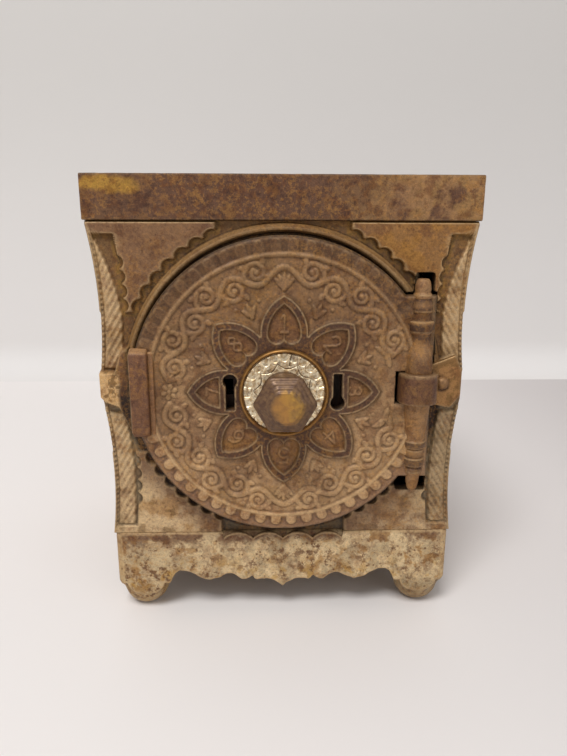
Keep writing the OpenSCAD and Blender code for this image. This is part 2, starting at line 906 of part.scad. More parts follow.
module round_rivet(x, z, y0, y1, head) {
    bar_y(rivet_r, y0, y1, x = x, z = z);
    translate([x, y0, z])
        rotate([90, 0, 0])
            rotate_extrude()
                polygon([[0, 0], [rivet_r * 1.6, 0], [rivet_r * 1.5, head * 0.5],
                    [rivet_r * 0.9, head * 0.92], [0, head]]);
    translate([x, y1 + 0.8, z])
        rotate([90, 0, 0])
            cylinder(r = rivet_r * 1.5, h = 0.8);
}

module strap_rivet() {
    color("sienna") placed()
        round_rivet(strap_rivet_x, strap_rivet_z, lug_face_y, frame_back_y, 1.2);
}

// Strike

module strike() {
    tip_x = -disc_r + nose_lap;
    color("slategray") placed()
        difference() {
            union() {
                block(strike_x, strike_step_x + strike_t, frame_back_y,
                    frame_back_y + strike_t, door_z - nose_w, door_z + nose_w);
                block(strike_x, strike_screw_x + screw_head_r + strike_gap, frame_back_y,
                    frame_back_y + strike_t, door_z - strike_half, door_z + strike_half);
                block(strike_step_x, strike_step_x + strike_t, nose_y, frame_back_y + strike_t,
                    door_z - nose_w / 2, door_z + nose_w / 2);
                block(strike_step_x, tip_x, nose_y, nose_y + nose_t,
                    door_z - nose_w / 2, door_z + nose_w / 2);
            }
            for (side = [-1, 1])
                bar_y(screw_r + 0.1, frame_back_y - 1, frame_back_y + strike_t + 1,
                    x = strike_screw_x, z = door_z + side * strike_screw_z);
        }
}

module slotted_screw(x, z, tip_y, seat_y) {
    end_y = seat_y + screw_head_t;
    difference() {
        union() {
            bar_y(screw_r, tip_y, seat_y + eps, x = x, z = z);
            bar_y(screw_head_r, seat_y, end_y, x = x, z = z);
        }
        block(x - screw_head_r - 1, x + screw_head_r + 1, end_y - screw_slot_t, end_y + 1,
            z - screw_slot_w / 2, z + screw_slot_w / 2);
    }
}

module strike_screws() {
    color("gray") placed()
        for (side = [-1, 1])
            slotted_screw(strike_screw_x, door_z + side * strike_screw_z,
                frame_back_y - screw_bite, frame_back_y + strike_t);
}

// Dial

module dial_bezel() {
    color("goldenrod") placed()
        difference() {
            turned_y([[spindle_r + fit_gap, -dial_back_y], [bezel_r, -dial_back_y],
                [bezel_r, -dial_back_y + 0.8], [bezel_r - 0.5, -dial_face_y + 0.2],
                [dial_r + 0.1, -dial_face_y + 0.2], [dial_r + 0.1, -dial_face_y - 0.6],
                [spindle_r + fit_gap, -dial_face_y - 0.6]]);
        }
}

module dial_plate() {
    color("silver") placed()
        difference() {
            turned_y([[spindle_r + fit_gap, -dial_face_y - 0.6], [dial_r, -dial_face_y - 0.6],
                [dial_r, -dial_face_y], [dial_r - 0.5, -dial_face_y + 0.25],
                [dial_r - 1, -dial_face_y], [spindle_r + fit_gap, -dial_face_y]]);
            // The index line
            translate([0, 0, door_z])
                rotate([0, 10, 0])
                    block(-0.25, 0.25, dial_face_y - 1, dial_face_y + 0.25, dial_r - 3.4, dial_r + 1);
        }
}

module knob() {
    // A neck that flares to a six-sided head, turned down in steps to a small face
    color("goldenrod") placed()
        difference() {
            union() {
                turned_y([[0, -dial_face_y], [knob_neck_r + 0.6, -dial_face_y],
                    [knob_neck_r, -dial_face_y + 1.6], [knob_neck_r - 0.4, -dial_face_y + 4],
                    [knob_neck_r + 0.6, -knob_head_y - 2.8], [0, -knob_head_y - 2.8]]);
                intersection() {
                    translate([0, 0, door_z])
                        rotate([90, 0, 0])
                            cylinder(r = knob_w / 2, h = knob_reach, $fn = 6);
                    turned_y([[0, -knob_head_y - 2.8], [knob_neck_r + 0.6, -knob_head_y - 2.8],
                        [knob_w / 2, -knob_head_y - 0.8], [knob_w / 2, -knob_head_y + 0.2],
                        [knob_w / 2 - 1, -knob_head_y + 0.8], [knob_w / 2 - 1.4, -knob_head_y + 0.8],
                        [knob_w / 2 - 2.4, -knob_head_y + 1.7], [knob_w / 2 - 2.8, -knob_head_y + 1.7],
                        [knob_w / 2 - 3.6, -knob_head_y + 2.5], [0, -knob_head_y + 2.5]]);
                }
                translate([0, 0, door_z])
                    rotate([90, 0, 0])
                        translate([0, 0, -knob_head_y + 2.4])
                            cylinder(r1 = knob_w / 2 - 3.9, r2 = knob_w / 2 - 4.9,
                                h = knob_reach + knob_head_y - 2.4, $fn = 6);
            }
            bar_y(spindle_r + fit_gap, spindle_tip_y, 0);
            knob_pin_bore(knob_pin_r + fit_gap);
        }
}

module knob_pin_bore(r) {
    translate([0, knob_pin_y, door_z - reach / 2])
        cylinder(r = r, h = reach);
}

module knob_pin() {
    color("dimgray") placed()
        translate([0, knob_pin_y, door_z - knob_neck_r + 0.6])
            cylinder(r = knob_pin_r, h = 2 * knob_neck_r - 1.2);
}

module dial_spindle() {
    color("silver") placed()
        difference() {
            bar_y(spindle_r, spindle_tip_y, spindle_end_y);
            knob_pin_bore(knob_pin_r + fit_gap);
        }
}

module spring_washer() {
    // A dished washer between the bridge and the nut, which keeps the dial where it is set
    color("silver") placed()
        turned_y([[spindle_r + fit_gap, -nut_y + 0.05], [spindle_r + 1.4, -nut_y + 0.05],
            [spindle_r + 3.4, -bridge_y - bridge_t - 0.05 - 0.5],
            [spindle_r + 3.4, -bridge_y - bridge_t - 0.05],
            [spindle_r + 1.4, -nut_y + 0.55], [spindle_r + fit_gap, -nut_y + 0.55]]);
}

module spindle_nut() {
    color("gray") placed()
        difference() {
            translate([0, nut_y + nut_t, door_z])
                rotate([90, 0, 0])
                    cylinder(r = nut_w / 2, h = nut_t, $fn = 6);
            bar_y(spindle_r + fit_gap, nut_y - 1, nut_y + nut_t + 1);
        }
}

// Gated discs

module gated_disc(y, bore) {
    difference() {
        bar_y(disc_r, y, y + disc_t, $fn = 120);
        bar_y(bore, y - 1, y + disc_t + 1);
        block(-disc_r - 1, -gate_r, y - 1, y + disc_t + 1, door_z - gate_w / 2, door_z + gate_w / 2);
        for (a = [45 : 90 : 315])
            bar_y(2.6, y - 1, y + disc_t + 1, x = 16.5 * cos(a), z = door_z + 16.5 * sin(a));
    }
}

// The round groove that the neighbour's pin runs in, up to a stop
module pin_groove(y) {
    difference() {
        bar_y(drive_ring + groove_half, y - 1, y + groove_depth);
        bar_y(drive_ring - groove_half, y - 2, y + groove_depth + 1);
        block(0, reach, y - 2, y + groove_depth + 1, door_z - 2 * stop_half, door_z);
    }
}

// The pin that drives the next disc, resting against that disc's stop
module drive_pin(y) {
    bar_y(drive_pin_r, y + disc_t - eps, y + disc_t + disc_gap + groove_depth - 0.2,
        x = drive_ring, z = door_z + drive_pin_r + 0.1);
}

module drive_cam() {
    color("darkgoldenrod") placed()
        union() {
            gated_disc(cam_y, spindle_r + fit_gap);
            drive_pin(cam_y);
        }
}

module front_tumbler() {
    color("gold") placed()
        union() {
            difference() {
                gated_disc(front_disc_y, spindle_r + spindle_clear);
                pin_groove(front_disc_y);
            }
            drive_pin(front_disc_y);
        }
}

module rear_tumbler() {
    color("gold") placed()
        difference() {
            gated_disc(rear_disc_y, spindle_r + spindle_clear);
            pin_groove(rear_disc_y);
        }
}

module spacer(y) {
    difference() {
        bar_y(spindle_r + 2, y + 0.05, y + disc_gap - 0.05);
        bar_y(spindle_r + fit_gap, y - 1, y + disc_gap + 1);
    }
}

module spacer_washers() {
    color("silver") placed()
        for (y = [cam_y + disc_t, front_disc_y + disc_t, rear_disc_y + disc_t])
            spacer(y);
}

module bridge_plate() {
    color("lightslategray") placed()
        difference() {
            upright(bridge_y, bridge_y + bridge_t)
                translate([0, door_z])
                    union() {
                        for (a = post_angles)
                            rotate(a)
                                translate([post_ring, 0])
                                    circle(r = bridge_half);
                        translate([-bridge_half, -post_ring])
                            square([2 * bridge_half, 2 * post_ring]);
                        circle(r = 2 * bridge_half - 0.8);
                    }
            bar_y(spindle_r + spindle_clear, bridge_y - 1, bridge_y + bridge_t + 1);
            for (a = post_angles)
                bar_y(screw_r + 0.1, bridge_y - 1, bridge_y + bridge_t + 1,
                    x = post_ring * cos(a), z = door_z + post_ring * sin(a));
        }
}

module bridge_screws() {
    color("gray") placed()
        for (a = post_angles)
            slotted_screw(post_ring * cos(a), door_z + post_ring * sin(a),
                door_back_y + 2, bridge_y + bridge_t);
}

top_plate();
front_frame();
left_side();
right_side();
back_plate();
base();
tie_rods();
tie_washers();
tie_nuts();
door();
hinge_strap();
strap_rivet();
dial_plate();
dial_bezel();
knob();
knob_pin();
dial_spindle();
spring_washer();
drive_cam();
front_tumbler();
rear_tumbler();
spacer_washers();
bridge_plate();
bridge_screws();
spindle_nut();
strike();
strike_screws();
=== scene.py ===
"""Safe coin bank of cast iron: reliefs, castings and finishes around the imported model."""

import math
from types import SimpleNamespace

import bmesh
import bpy
import numpy as np
from bpy.props import FloatProperty, FloatVectorProperty, IntProperty, PointerProperty
from mathutils import Matrix, Vector


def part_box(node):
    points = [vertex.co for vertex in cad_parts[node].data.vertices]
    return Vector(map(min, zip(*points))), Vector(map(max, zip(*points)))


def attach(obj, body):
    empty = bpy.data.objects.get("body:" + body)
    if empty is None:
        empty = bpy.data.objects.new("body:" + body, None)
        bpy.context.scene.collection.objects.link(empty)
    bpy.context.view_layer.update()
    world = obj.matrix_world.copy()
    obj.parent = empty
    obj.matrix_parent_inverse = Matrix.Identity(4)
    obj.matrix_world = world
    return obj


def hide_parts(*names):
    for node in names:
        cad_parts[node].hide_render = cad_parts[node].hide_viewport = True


bl_info = {
    "name": "Safe coin bank",
    "version": (1, 0, 0),
    "blender": (4, 5, 0),
    "location": "View3D > Sidebar > Coin bank",
    "description": "Castings, dial, hinge and finishes of a safe coin bank",
    "category": "Object",
}

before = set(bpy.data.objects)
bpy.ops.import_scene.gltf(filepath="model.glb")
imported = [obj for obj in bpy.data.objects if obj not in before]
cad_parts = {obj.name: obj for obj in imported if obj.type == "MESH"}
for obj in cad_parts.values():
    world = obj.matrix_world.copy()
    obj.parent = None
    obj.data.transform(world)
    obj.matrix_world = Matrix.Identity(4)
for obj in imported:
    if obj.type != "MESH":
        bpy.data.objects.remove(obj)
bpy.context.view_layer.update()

MM = 0.001
TURN = 2 * math.pi
QUARTER = math.pi / 2


def node_box(node):
    """Lowest and highest corner of a CAD node at rest, in millimetres."""
    low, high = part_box(node)
    return np.array(low) / MM, np.array(high) / MM


LID_LOW, LID_HIGH = node_box("top_plate")
BEZEL_LOW, BEZEL_HIGH = node_box("dial_bezel")
DIAL_LOW, DIAL_HIGH = node_box("dial_plate")
KNOB_LOW, KNOB_HIGH = node_box("knob")
FRONT = LID_LOW[1]
LID_Z = LID_LOW[2]
BASE_Z = node_box("base")[1][2]
DOOR_Z = (BEZEL_LOW[2] + BEZEL_HIGH[2]) / 2


# Settings

def length(name, description, default_mm):
    return FloatProperty(name=name, description=description, default=default_mm * MM,
                         min=0.0, subtype="DISTANCE", unit="LENGTH", precision=5)


def colour(name, description, red, green, blue):
    linear = [(c / 255 / 12.92) if c <= 10 else ((c / 255 + 0.055) / 1.055) ** 2.4
              for c in (red, green, blue)]
    return FloatVectorProperty(name=name, description=description, subtype="COLOR",
                               size=3, min=0.0, max=1.0, default=linear)


class CoinBankCaseSizes(bpy.types.PropertyGroup):
    wall_top: length("Wall top", "Half width of the walls under the lid", 61.2)
    belt: length("Belt", "Half width of the walls at the belt", 59.4)
    wall_foot: length("Wall foot", "Half width of the walls on the base", 58.6)
    belt_height: length("Belt height", "Height of the belt between the waists", 10.0)
    upper_sag: length("Upper waist", "How far the upper waist is drawn in", 2.0)
    lower_sag: length("Lower waist", "How far the lower waist is drawn in", 1.9)
    field: length("Field", "Depth of the front's field behind the lid's face", 1.8)
    plate_thickness: length("Plate", "Thickness of the front and back plates", 3.2)
    plate_relief: length("Corner plates", "Height of the corner plates", 1.5)
    side_wall: length("Side wall", "Thickness of the side walls", 2.8)
    surface_step: length("Surface step", "Spacing of the castings' surface points", 0.7)


class CoinBankDoorSizes(bpy.types.PropertyGroup):
    radius: length("Radius", "Radius of the door", 48.3)
    field_radius: length("Field radius", "Middle of the raised line inside the rim", 42.7)
    thickness: length("Thickness", "Thickness of the door's face", 3.2)
    proud: length("Proud", "How far the door stands in front of the lid", 6.5)
    petal_reach: length("Petal", "Radius of the petals' tips", 30.8)
    petal_width: length("Petal width", "Width of a petal", 15.2)
    rosette_height: length("Rosette", "Height of the rosette above the field", 1.2)
    lobes: IntProperty(name="Lobes", description="Number of lobes round the rim",
                       default=54, min=12, max=120)


class CoinBankColours(bpy.types.PropertyGroup):
    iron: colour("Old paint", "Purplish brown of the worn paint", 104, 72, 52)
    # Deep iron is also the painted shade in hollows and gaps and the rivet's painted shadow.
    dark: colour("Deep iron", "Dark brown of the deepest places", 42, 27, 17)
    tan: colour("Worn tan", "Tan of the worn ornament", 146, 110, 74)
    bronze: colour("Bronze brown", "Brown of the mouldings under the lid", 120, 88, 48)
    gold: colour("Old gilding", "Golden brown left of the gilding", 150, 106, 50)
    mustard: colour("Mustard", "Yellow left on the lid's corner", 172, 130, 50)
    olive: colour("Olive", "Olive cream of the base", 187, 164, 127)
    # Bare edge is also the tone of the painted highlight on ridges.
    pale: colour("Bare edge", "Pale metal along worn edges", 200, 168, 122)
    rust: colour("Rust", "Rust specks", 92, 54, 30)
    nickel: colour("Nickel", "Nickelled dial plate", 250, 238, 208)
    steel: colour("Steel", "Plain steel of the lock", 126, 120, 112)


def settings():
    """The case's and the door's sizes in millimetres, and the colours as arrays."""
    scene = bpy.context.scene
    groups = []
    for group in (scene.coin_bank_case, scene.coin_bank_door, scene.coin_bank_colours):
        values = {key: getattr(group, key) for key in type(group).__annotations__}
        for key, value in values.items():
            if isinstance(value, float):
                values[key] = value / MM
            elif not isinstance(value, int):
                values[key] = np.array(value)
        groups.append(SimpleNamespace(**values))
    return groups


# Flat shapes

def unit(values):
    """Values held between 0 and 1."""
    return np.clip(values, 0, 1)


def eased(t):
    """A share from 0 to 1 that leaves and arrives softly."""
    return t * t * (3 - 2 * t)


def inside(distance, width):
    """1 well inside a shape, 0 outside, with a soft slope of a given width."""
    return eased(unit(0.5 - distance / width))


def stripe(distance, half, slope):
    """1 within half a width of where the distance is 0, with a soft slope on both sides."""
    return inside(np.abs(distance) - half, slope)


def circle(steps, start=0.0):
    """Angles spread evenly all the way round."""
    return np.linspace(start, start + TURN, steps, endpoint=False)


def folded(angle, pitch, start=0.0):
    """Angle from the middle of the repeat that it lies in; the repeats begin at start."""
    return (angle - start) % pitch - pitch / 2


def directions(steps, corners):
    """Angles all the way round, among them those of the corners."""
    return np.unique(np.round(np.concatenate([circle(steps, -math.pi), corners]), 6))


def belt():
    """Lowest and highest place of the belt between the waists."""
    half = settings()[0].belt_height / 2
    return DOOR_Z - half, DOOR_Z + half


def wall_half(z):
    """Half width of the case's outline at a height, in millimetres."""
    case = settings()[0]
    z = np.asarray(z, float)
    low, high = belt()
    up, down = unit((z - high) / (LID_Z - high)), unit((z - BASE_Z) / (low - BASE_Z))
    upper = case.belt + (case.wall_top - case.belt) * up - 4 * case.upper_sag * up * (1 - up)
    lower = case.wall_foot + (case.belt - case.wall_foot) * down \
        - 4 * case.lower_sag * down * (1 - down)
    return np.where(z >= high, upper, np.where(z <= low, lower, case.belt))


def polygon_distance(x, z, points):
    """Signed distance to a polygon, negative inside."""
    points = np.asarray(points, float)
    best = np.full(x.shape, 1e9)
    within = np.zeros(x.shape, bool)
    for a, b in zip(points, np.roll(points, -1, axis=0)):
        edge = b - a
        t = unit(((x - a[0]) * edge[0] + (z - a[1]) * edge[1]) / (edge @ edge))
        best = np.minimum(best, np.hypot(x - a[0] - t * edge[0], z - a[1] - t * edge[1]))
        crosses = (a[1] > z) != (b[1] > z)
        span = edge[1] if edge[1] else 1e-9
        within ^= crosses & (x < a[0] + edge[0] * (z - a[1]) / span)
    return np.where(within, -best, best)


def lens_distance(along, across, reach, width, waist):
    """Signed distance to a pointed petal, two arcs that meet at its reach."""
    run = reach - waist
    arc = (run * run + width * width / 4) / width
    return np.maximum(np.hypot(along - waist, across - width / 2 + arc),
                      np.hypot(along - waist, across + width / 2 - arc)) - arc


def spline(points, steps):
    """A smooth line through the points."""
    points = np.asarray(points, float)
    padded = np.vstack([2 * points[0] - points[1], points, 2 * points[-1] - points[-2]])
    out = []
    t = np.linspace(0, 1, steps, endpoint=False)[:, None]
    for i in range(1, len(padded) - 2):
        p0, p1, p2, p3 = padded[i - 1:i + 3]
        out.append(0.5 * (2 * p1 + (p2 - p0) * t + (2 * p0 - 5 * p1 + 4 * p2 - p3) * t ** 2
                          + (3 * p1 - p0 - 3 * p2 + p3) * t ** 3))
    out.append(points[-1:])
    return np.vstack(out)


def softened(points, radius, count=4):
    """A closed outline with its corners rounded."""
    points = np.asarray(points, float)
    out = []
    for i, p in enumerate(points):
        a, b = points[i - 1] - p, points[(i + 1) % len(points)] - p
        la, lb = np.linalg.norm(a), np.linalg.norm(b)
        cut_back = min(radius, la * 0.45, lb * 0.45)
        start, end = p + a / la * cut_back, p + b / lb * cut_back
        for t in np.linspace(0, 1, count):
            out.append((1 - t) ** 2 * start + 2 * t * (1 - t) * p + t * t * end)
    return np.array(out)


def on_circle(angle, radius):
    """The point of a circle round the origin at an angle."""
    return np.array([math.cos(angle), math.sin(angle)]) * radius


class Relief:
    """Heights over scattered points, raised by strokes, domes and plates."""

    def __init__(self, x, z):
        self.x, self.z = x.ravel(), z.ravel()
        self.height = np.zeros(self.x.shape)
        self.mark = np.zeros(self.x.shape)

    def near(self, points, margin):
        low, high = points.min(0) - margin, points.max(0) + margin
        return np.nonzero((self.x > low[0]) & (self.x < high[0])
                          & (self.z > low[1]) & (self.z < high[1]))[0]

    def stroke(self, points, radius, height, tip=None, base=0.0):
        """A rounded cord along a line, thinning to its tip."""
        radii = radius if np.ndim(radius) \
            else np.linspace(radius, radius if tip is None else tip, len(points))
        at = self.near(points, radii.max() * 1.2)
        ratio = np.full(len(at), 9.0)
        for p, r in zip(points, radii):
            ratio = np.minimum(ratio, np.hypot(self.x[at] - p[0], self.z[at] - p[1]) / r)
        self.add(at, ratio, height, base)

    def leaf(self, root, direction, reach, width, height, bend=0.0):
        """A pointed leaf from its root, bent on its way."""
        t = np.linspace(0.04, 1, 13)
        angle = direction + bend * (t - 0.5)
        line = np.asarray(root) + np.cumsum(
            reach / len(t) * np.c_[np.cos(angle), np.sin(angle)], axis=0)
        self.stroke(line, width * np.sin(math.pi * t ** 0.75) ** 0.8 + 0.14, height)

    def dome(self, centre, radius_a, radius_b, angle, height):
        """A rounded oval."""
        at = self.near(centre[None], max(radius_a, radius_b) * 1.2)
        dx, dz = self.x[at] - centre[0], self.z[at] - centre[1]
        u = (dx * math.cos(angle) + dz * math.sin(angle)) / radius_a
        v = (-dx * math.sin(angle) + dz * math.cos(angle)) / radius_b
        self.add(at, np.hypot(u, v), height)

    def add(self, at, ratio, height, base=0.0):
        """A rounded rise over some points; the ratio is 0 in its middle and 1 at its edge."""
        rise = np.sqrt(unit(1 - ratio ** 2)) * height
        self.height[at] = np.where(rise > 0, np.maximum(self.height[at], base + rise),
                                   self.height[at])
        self.mark[at] = np.maximum(self.mark[at], unit(rise / 0.6))

    def raise_to(self, height):
        """Lifts what lies lower."""
        self.height = np.maximum(self.height, height)

    def plate(self, distance, height, slope):
        """A flat-topped plate where the distance is negative."""
        share = inside(distance, slope)
        self.height = self.height * (1 - share) + height * share
        return share


def rough_surface(x, z, seed, cell, amount):
    """Smooth random unevenness of a casting."""
    size = 64
    table = np.random.default_rng(seed).uniform(-1, 1, (size, size))
    u, v = np.asarray(x) / cell, np.asarray(z) / cell
    i, j = np.floor(u).astype(int), np.floor(v).astype(int)
    fu, fv = eased(u - i), eased(v - j)
    i, j, i1, j1 = i % size, j % size, (i + 1) % size, (j + 1) % size
    return amount * ((table[i, j] * (1 - fu) + table[i1, j] * fu) * (1 - fv)
                     + (table[i, j1] * (1 - fu) + table[i1, j1] * fu) * fv)


def cast_skin(x, z, seed, coarse, fine):
    """Unevenness of two sizes, each given as its cell and its height."""
    return rough_surface(x, z, seed, *coarse) + rough_surface(x, z, seed + 1, *fine)


def patches(x, z, seed, cell, low, high):
    """Soft patches between 0 and 1 over points, of a given size."""
    value = rough_surface(x, z, seed, cell, 1.0) \
        + rough_surface(x, z, seed + 50, cell * 0.37, 0.45) \
        + rough_surface(x, z, seed + 90, cell * 0.13, 0.25)
    return eased(unit((value - low) / (high - low)))


# Meshes

def placed(x, depth, z):
    """Points in metres, from width, depth behind the lid's face and height."""
    x, depth, z = np.broadcast_arrays(*(np.asarray(v, float) for v in (x, depth, z)))
    return np.stack([x * MM, (depth + FRONT) * MM, z * MM], axis=-1).reshape(-1, 3)


def places(piece):
    """Width, depth behind the lid's face and height of a piece's points."""
    points = np.zeros(len(piece.data.vertices) * 3, np.float32)
    piece.data.vertices.foreach_get("co", points)
    points = points.reshape(-1, 3).astype(float) / MM
    return points[:, 0], points[:, 1] - FRONT, points[:, 2]


def outward(mesh, weld=0.0):
    """Joins points closer than the weld and turns every face outward."""
    mesh.validate()
    shape = bmesh.new()
    shape.from_mesh(mesh)
    if weld:
        bmesh.ops.remove_doubles(shape, verts=shape.verts, dist=weld)
    bmesh.ops.recalc_face_normals(shape, faces=shape.faces)
    shape.to_mesh(mesh)
    shape.free()
    mesh.update()


def new_piece(name, shell, body, node):
    """A smooth piece that rides on a body and stands for a CAD node."""
    points, faces = shell
    mesh = bpy.data.meshes.new(name)
    mesh.from_pydata(points.tolist(), [], faces)
    outward(mesh)
    mesh.shade_smooth()
    return carried(bpy.data.objects.new(name, mesh), body, node)


def carried(piece, body, node):
    """Puts a piece in the scene, on its body and in a CAD node's place."""
    bpy.context.scene.collection.objects.link(piece)
    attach(piece, body)
    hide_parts(node)
    return piece


def grid_faces(rows, columns, closed, flip=False, start=0):
    """Quads of a grid of points laid row by row."""
    i = np.arange(rows - 1)[:, None]
    j = np.arange(columns if closed else columns - 1)[None]
    k = (j + 1) % columns
    quads = np.stack([i * columns + j, i * columns + k, (i + 1) * columns + k,
                      (i + 1) * columns + j], axis=-1).reshape(-1, 4) + start
    return (quads[:, ::-1] if flip else quads).tolist()


def tube_faces(rows, columns, flip=False):
    """Faces of closed rings laid row by row, with a cap at each end."""
    faces = grid_faces(rows, columns, True)
    faces += [list(range(columns))[::-1], list(range((rows - 1) * columns, rows * columns))]
    return [face[::-1] for face in faces] if flip else faces


def ring_plate(x, depth, z, back):
    """A plate round an opening: a modelled front, row by row from the opening, a flat back."""
    count, columns = x.shape
    last, a, b = (count - 1) * columns, count * columns, (count + 1) * columns
    faces = grid_faces(count, columns, True)
    for j in range(columns):
        k = (j + 1) % columns
        faces += [[last + j, last + k, b + k, b + j], [b + j, b + k, a + k, a + j],
                  [a + j, a + k, k, j]]
    return np.vstack([placed(x, depth, z), placed(x[0], back, z[0]),
                      placed(x[-1], back, z[-1])]), faces


def panel_shell(outer, inner, rows, columns, flip):
    """A panel: a modelled skin of rows and columns, and a plain face of its end rows."""
    inner = inner.reshape(rows, columns, 3)[[0, -1]].reshape(-1, 3)
    n, m = rows * columns, (rows - 1) * columns
    loops = []
    for j in range(columns - 1):
        loops += [[j + 1, j, n + j, n + j + 1],
                  [m + j, m + j + 1, n + columns + j + 1, n + columns + j],
                  [n + j + 1, n + j, n + columns + j, n + columns + j + 1]]
    bottom = [i * columns for i in range(rows)]
    top = [i + columns - 1 for i in bottom]
    loops += [bottom + [n + columns, n], top[::-1] + [n + columns - 1, n + 2 * columns - 1]]
    return np.vstack([outer, inner]), grid_faces(rows, columns, False, flip) \
        + [loop[::-1] if flip else loop for loop in loops]


def join_shells(*shells):
    """One list of points and faces from several."""
    points, faces, start = [], [], 0
    for part_points, part_faces in shells:
        points.append(part_points)
        faces += [[v + start for v in face] for face in part_faces]
        start += len(part_points)
    return np.vstack(points), faces


def lathe(profile, centre, axis, steps):
    """A turned shell; the profile gives radius and place along the axis."""
    profile = np.asarray(profile, float)
    radius, along = profile[:, :1], profile[:, 1:]
    u, v = radius * np.cos(circle(steps)), radius * np.sin(circle(steps))
    points = placed(centre[0] + u, centre[1] + v, along) if axis == "Z" \
        else placed(centre[0] + u, along, centre[1] + v)
    return points, tube_faces(len(profile), steps, flip=axis == "Y")


def apply_modifier(piece, name):
    with bpy.context.temp_override(object=piece, active_object=piece, selected_objects=[piece]):
        bpy.ops.object.modifier_apply(modifier=name)


def cut(piece, outlines, start, end, upright=False):
    """Cuts holes of given outlines through a piece, along its depth or upright."""
    for outline in outlines:
        a, b = np.asarray(outline, float).T
        rings = [placed(a, b, at) if upright else placed(a, at, b) for at in (start, end)]
        mesh = bpy.data.meshes.new("cutter")
        mesh.from_pydata(np.vstack(rings).tolist(), [], tube_faces(2, len(a)))
        outward(mesh)
        cutter = bpy.data.objects.new("cutter", mesh)
        bpy.context.scene.collection.objects.link(cutter)
        boolean = piece.modifiers.new("Cut", "BOOLEAN")
        boolean.operation, boolean.solver, boolean.object = "DIFFERENCE", "MANIFOLD", cutter
        apply_modifier(piece, boolean.name)
        bpy.data.objects.remove(cutter)
        bpy.data.meshes.remove(mesh)
    if "Paint" in piece.data.color_attributes:
        layer, tint = stored(piece, "Paint")
        tint[tint[:, :3].min(axis=1) > 0.95, :3] = settings()[2].dark
        layer.data.foreach_set("color", tint.ravel())


# Paint on the points

def stored(piece, name):
    """A piece's layer of paint, or of wear and painted highlight, and its values by point."""
    layer = piece.data.attributes[name]
    count = len(piece.data.vertices)
    if name == "Paint":
        values = np.zeros(count * 4, np.float32)
        layer.data.foreach_get("color", values)
        return layer, values.reshape(-1, 4)
    values = np.zeros(count, np.float32)
    layer.data.foreach_get("value", values)
    return layer, values


def paint_points(piece, tint, wear_and_highlight=0.0):
    """Stores the paint's colour and the share of worn edges and painted highlights; points left
    over are dark and have neither.
    """
    mesh = piece.data
    count = len(mesh.vertices)
    if np.ndim(tint) == 1:
        tint = np.broadcast_to(tint, (count, 3))
    paint = np.ones((count, 4), np.float32)
    paint[:, :3] = settings()[2].dark
    paint[:len(tint), :3] = tint
    worn_and_lit = np.zeros(count, np.float32)
    worn_and_lit[:np.size(wear_and_highlight)] = wear_and_highlight
    layer = mesh.color_attributes.new("Paint", "FLOAT_COLOR", "POINT")
    layer.data.foreach_set("color", paint.ravel())
    layer = mesh.attributes.new("Wear", "FLOAT", "POINT")
    layer.data.foreach_set("value", worn_and_lit)


def layered(ground, *layers):
    """Colours over points: a ground, and over it tones, each with its share."""
    out = np.ones((len(layers[0][1]), 3)) * ground
    for tone, share in layers:
        out = out * (1 - share[:, None]) + tone * share[:, None]
    return out


def shaded_and_worn(piece, hollow=0.8, ridge=0.55, fine=0.05, broad=0.22, ease=0):
    """Paints shade into the hollows and bares the ridges of a piece, after its own shape; the pale
    ridges are worn edges and also a painted highlight.
    """
    longest, rounds = 1.6, (4, 16)
    mesh = piece.data
    count = len(mesh.vertices)
    points = np.stack(places(piece), axis=1)
    normals = np.zeros(count * 3, np.float32)
    mesh.vertex_normals.foreach_get("vector", normals)
    normals = normals.reshape(-1, 3)
    pairs = np.zeros(len(mesh.edges) * 2, np.int32)
    mesh.edges.foreach_get("vertices", pairs)
    a, b = pairs.reshape(-1, 2).T
    near = np.linalg.norm(points[a] - points[b], axis=1) < longest
    a, b = a[near], b[near]
    weight = np.bincount(a, minlength=count) + np.bincount(b, minlength=count)
    held = (weight == 0)[:, None]
    soft, rise = points.copy(), []
    for times in rounds:
        for _ in range(times):
            mean = np.stack([np.bincount(a, soft[b, k], count) + np.bincount(b, soft[a, k], count)
                             for k in range(3)], axis=1) / np.maximum(weight, 1)[:, None]
            soft = np.where(held, soft, (soft + mean) / 2)
        rise.append(((points - soft) * normals).sum(axis=1))
    # Painted shade: the hollows darken as if less light reached them.
    deep = unit(-0.7 * rise[0] / fine - 0.8 * rise[1] / broad - 0.08) * hollow * (1 - ease)
    # Pale ridges: worn bare edges that also serve as a painted highlight.
    worn_and_lit = unit(0.75 * rise[0] / fine + 0.5 * rise[1] / broad - 0.15) * ridge
    layer, paint = stored(piece, "Paint")
    paint[:, :3] = layered(paint[:, :3], (settings()[2].dark, deep))
    layer.data.foreach_set("color", paint.ravel())
    layer, wear_and_highlight = stored(piece, "Wear")
    wear_and_highlight = np.clip(np.maximum(wear_and_highlight * (1 - deep), worn_and_lit), 0, 0.95).astype(np.float32)
    layer.data.foreach_set("value", wear_and_highlight)


# Materials

class Nodes:
    """Short calls for the nodes of a material or a world."""

    def __init__(self, owner, output):
        owner.use_nodes = True
        self.tree = owner.node_tree
        self.tree.nodes.clear()
        self.output = self.add(output)

    def add(self, kind, inputs=None, **fields):
        """A new node with its fields set and its inputs linked or set."""
        node = self.tree.nodes.new("ShaderNode" + kind)
        for key, value in fields.items():
            setattr(node, key, value)
        for key, value in (inputs or {}).items():
            self.give(node.inputs[key], value)
        return node

    def give(self, target, value):
        """Links a socket to an input, or sets the input to a number, vector or colour."""
        if isinstance(value, bpy.types.NodeSocket):
            self.tree.links.new(value, target)
        elif np.ndim(value):
            target.default_value = (*value, 1.0)[:len(target.default_value)]
        else:
            target.default_value = value

    def maths(self, operation, a, b):
        return self.add("Math", {0: a, 1: b}, operation=operation).outputs[0]

    def times(self, a, b):
        return self.maths("MULTIPLY", a, b)


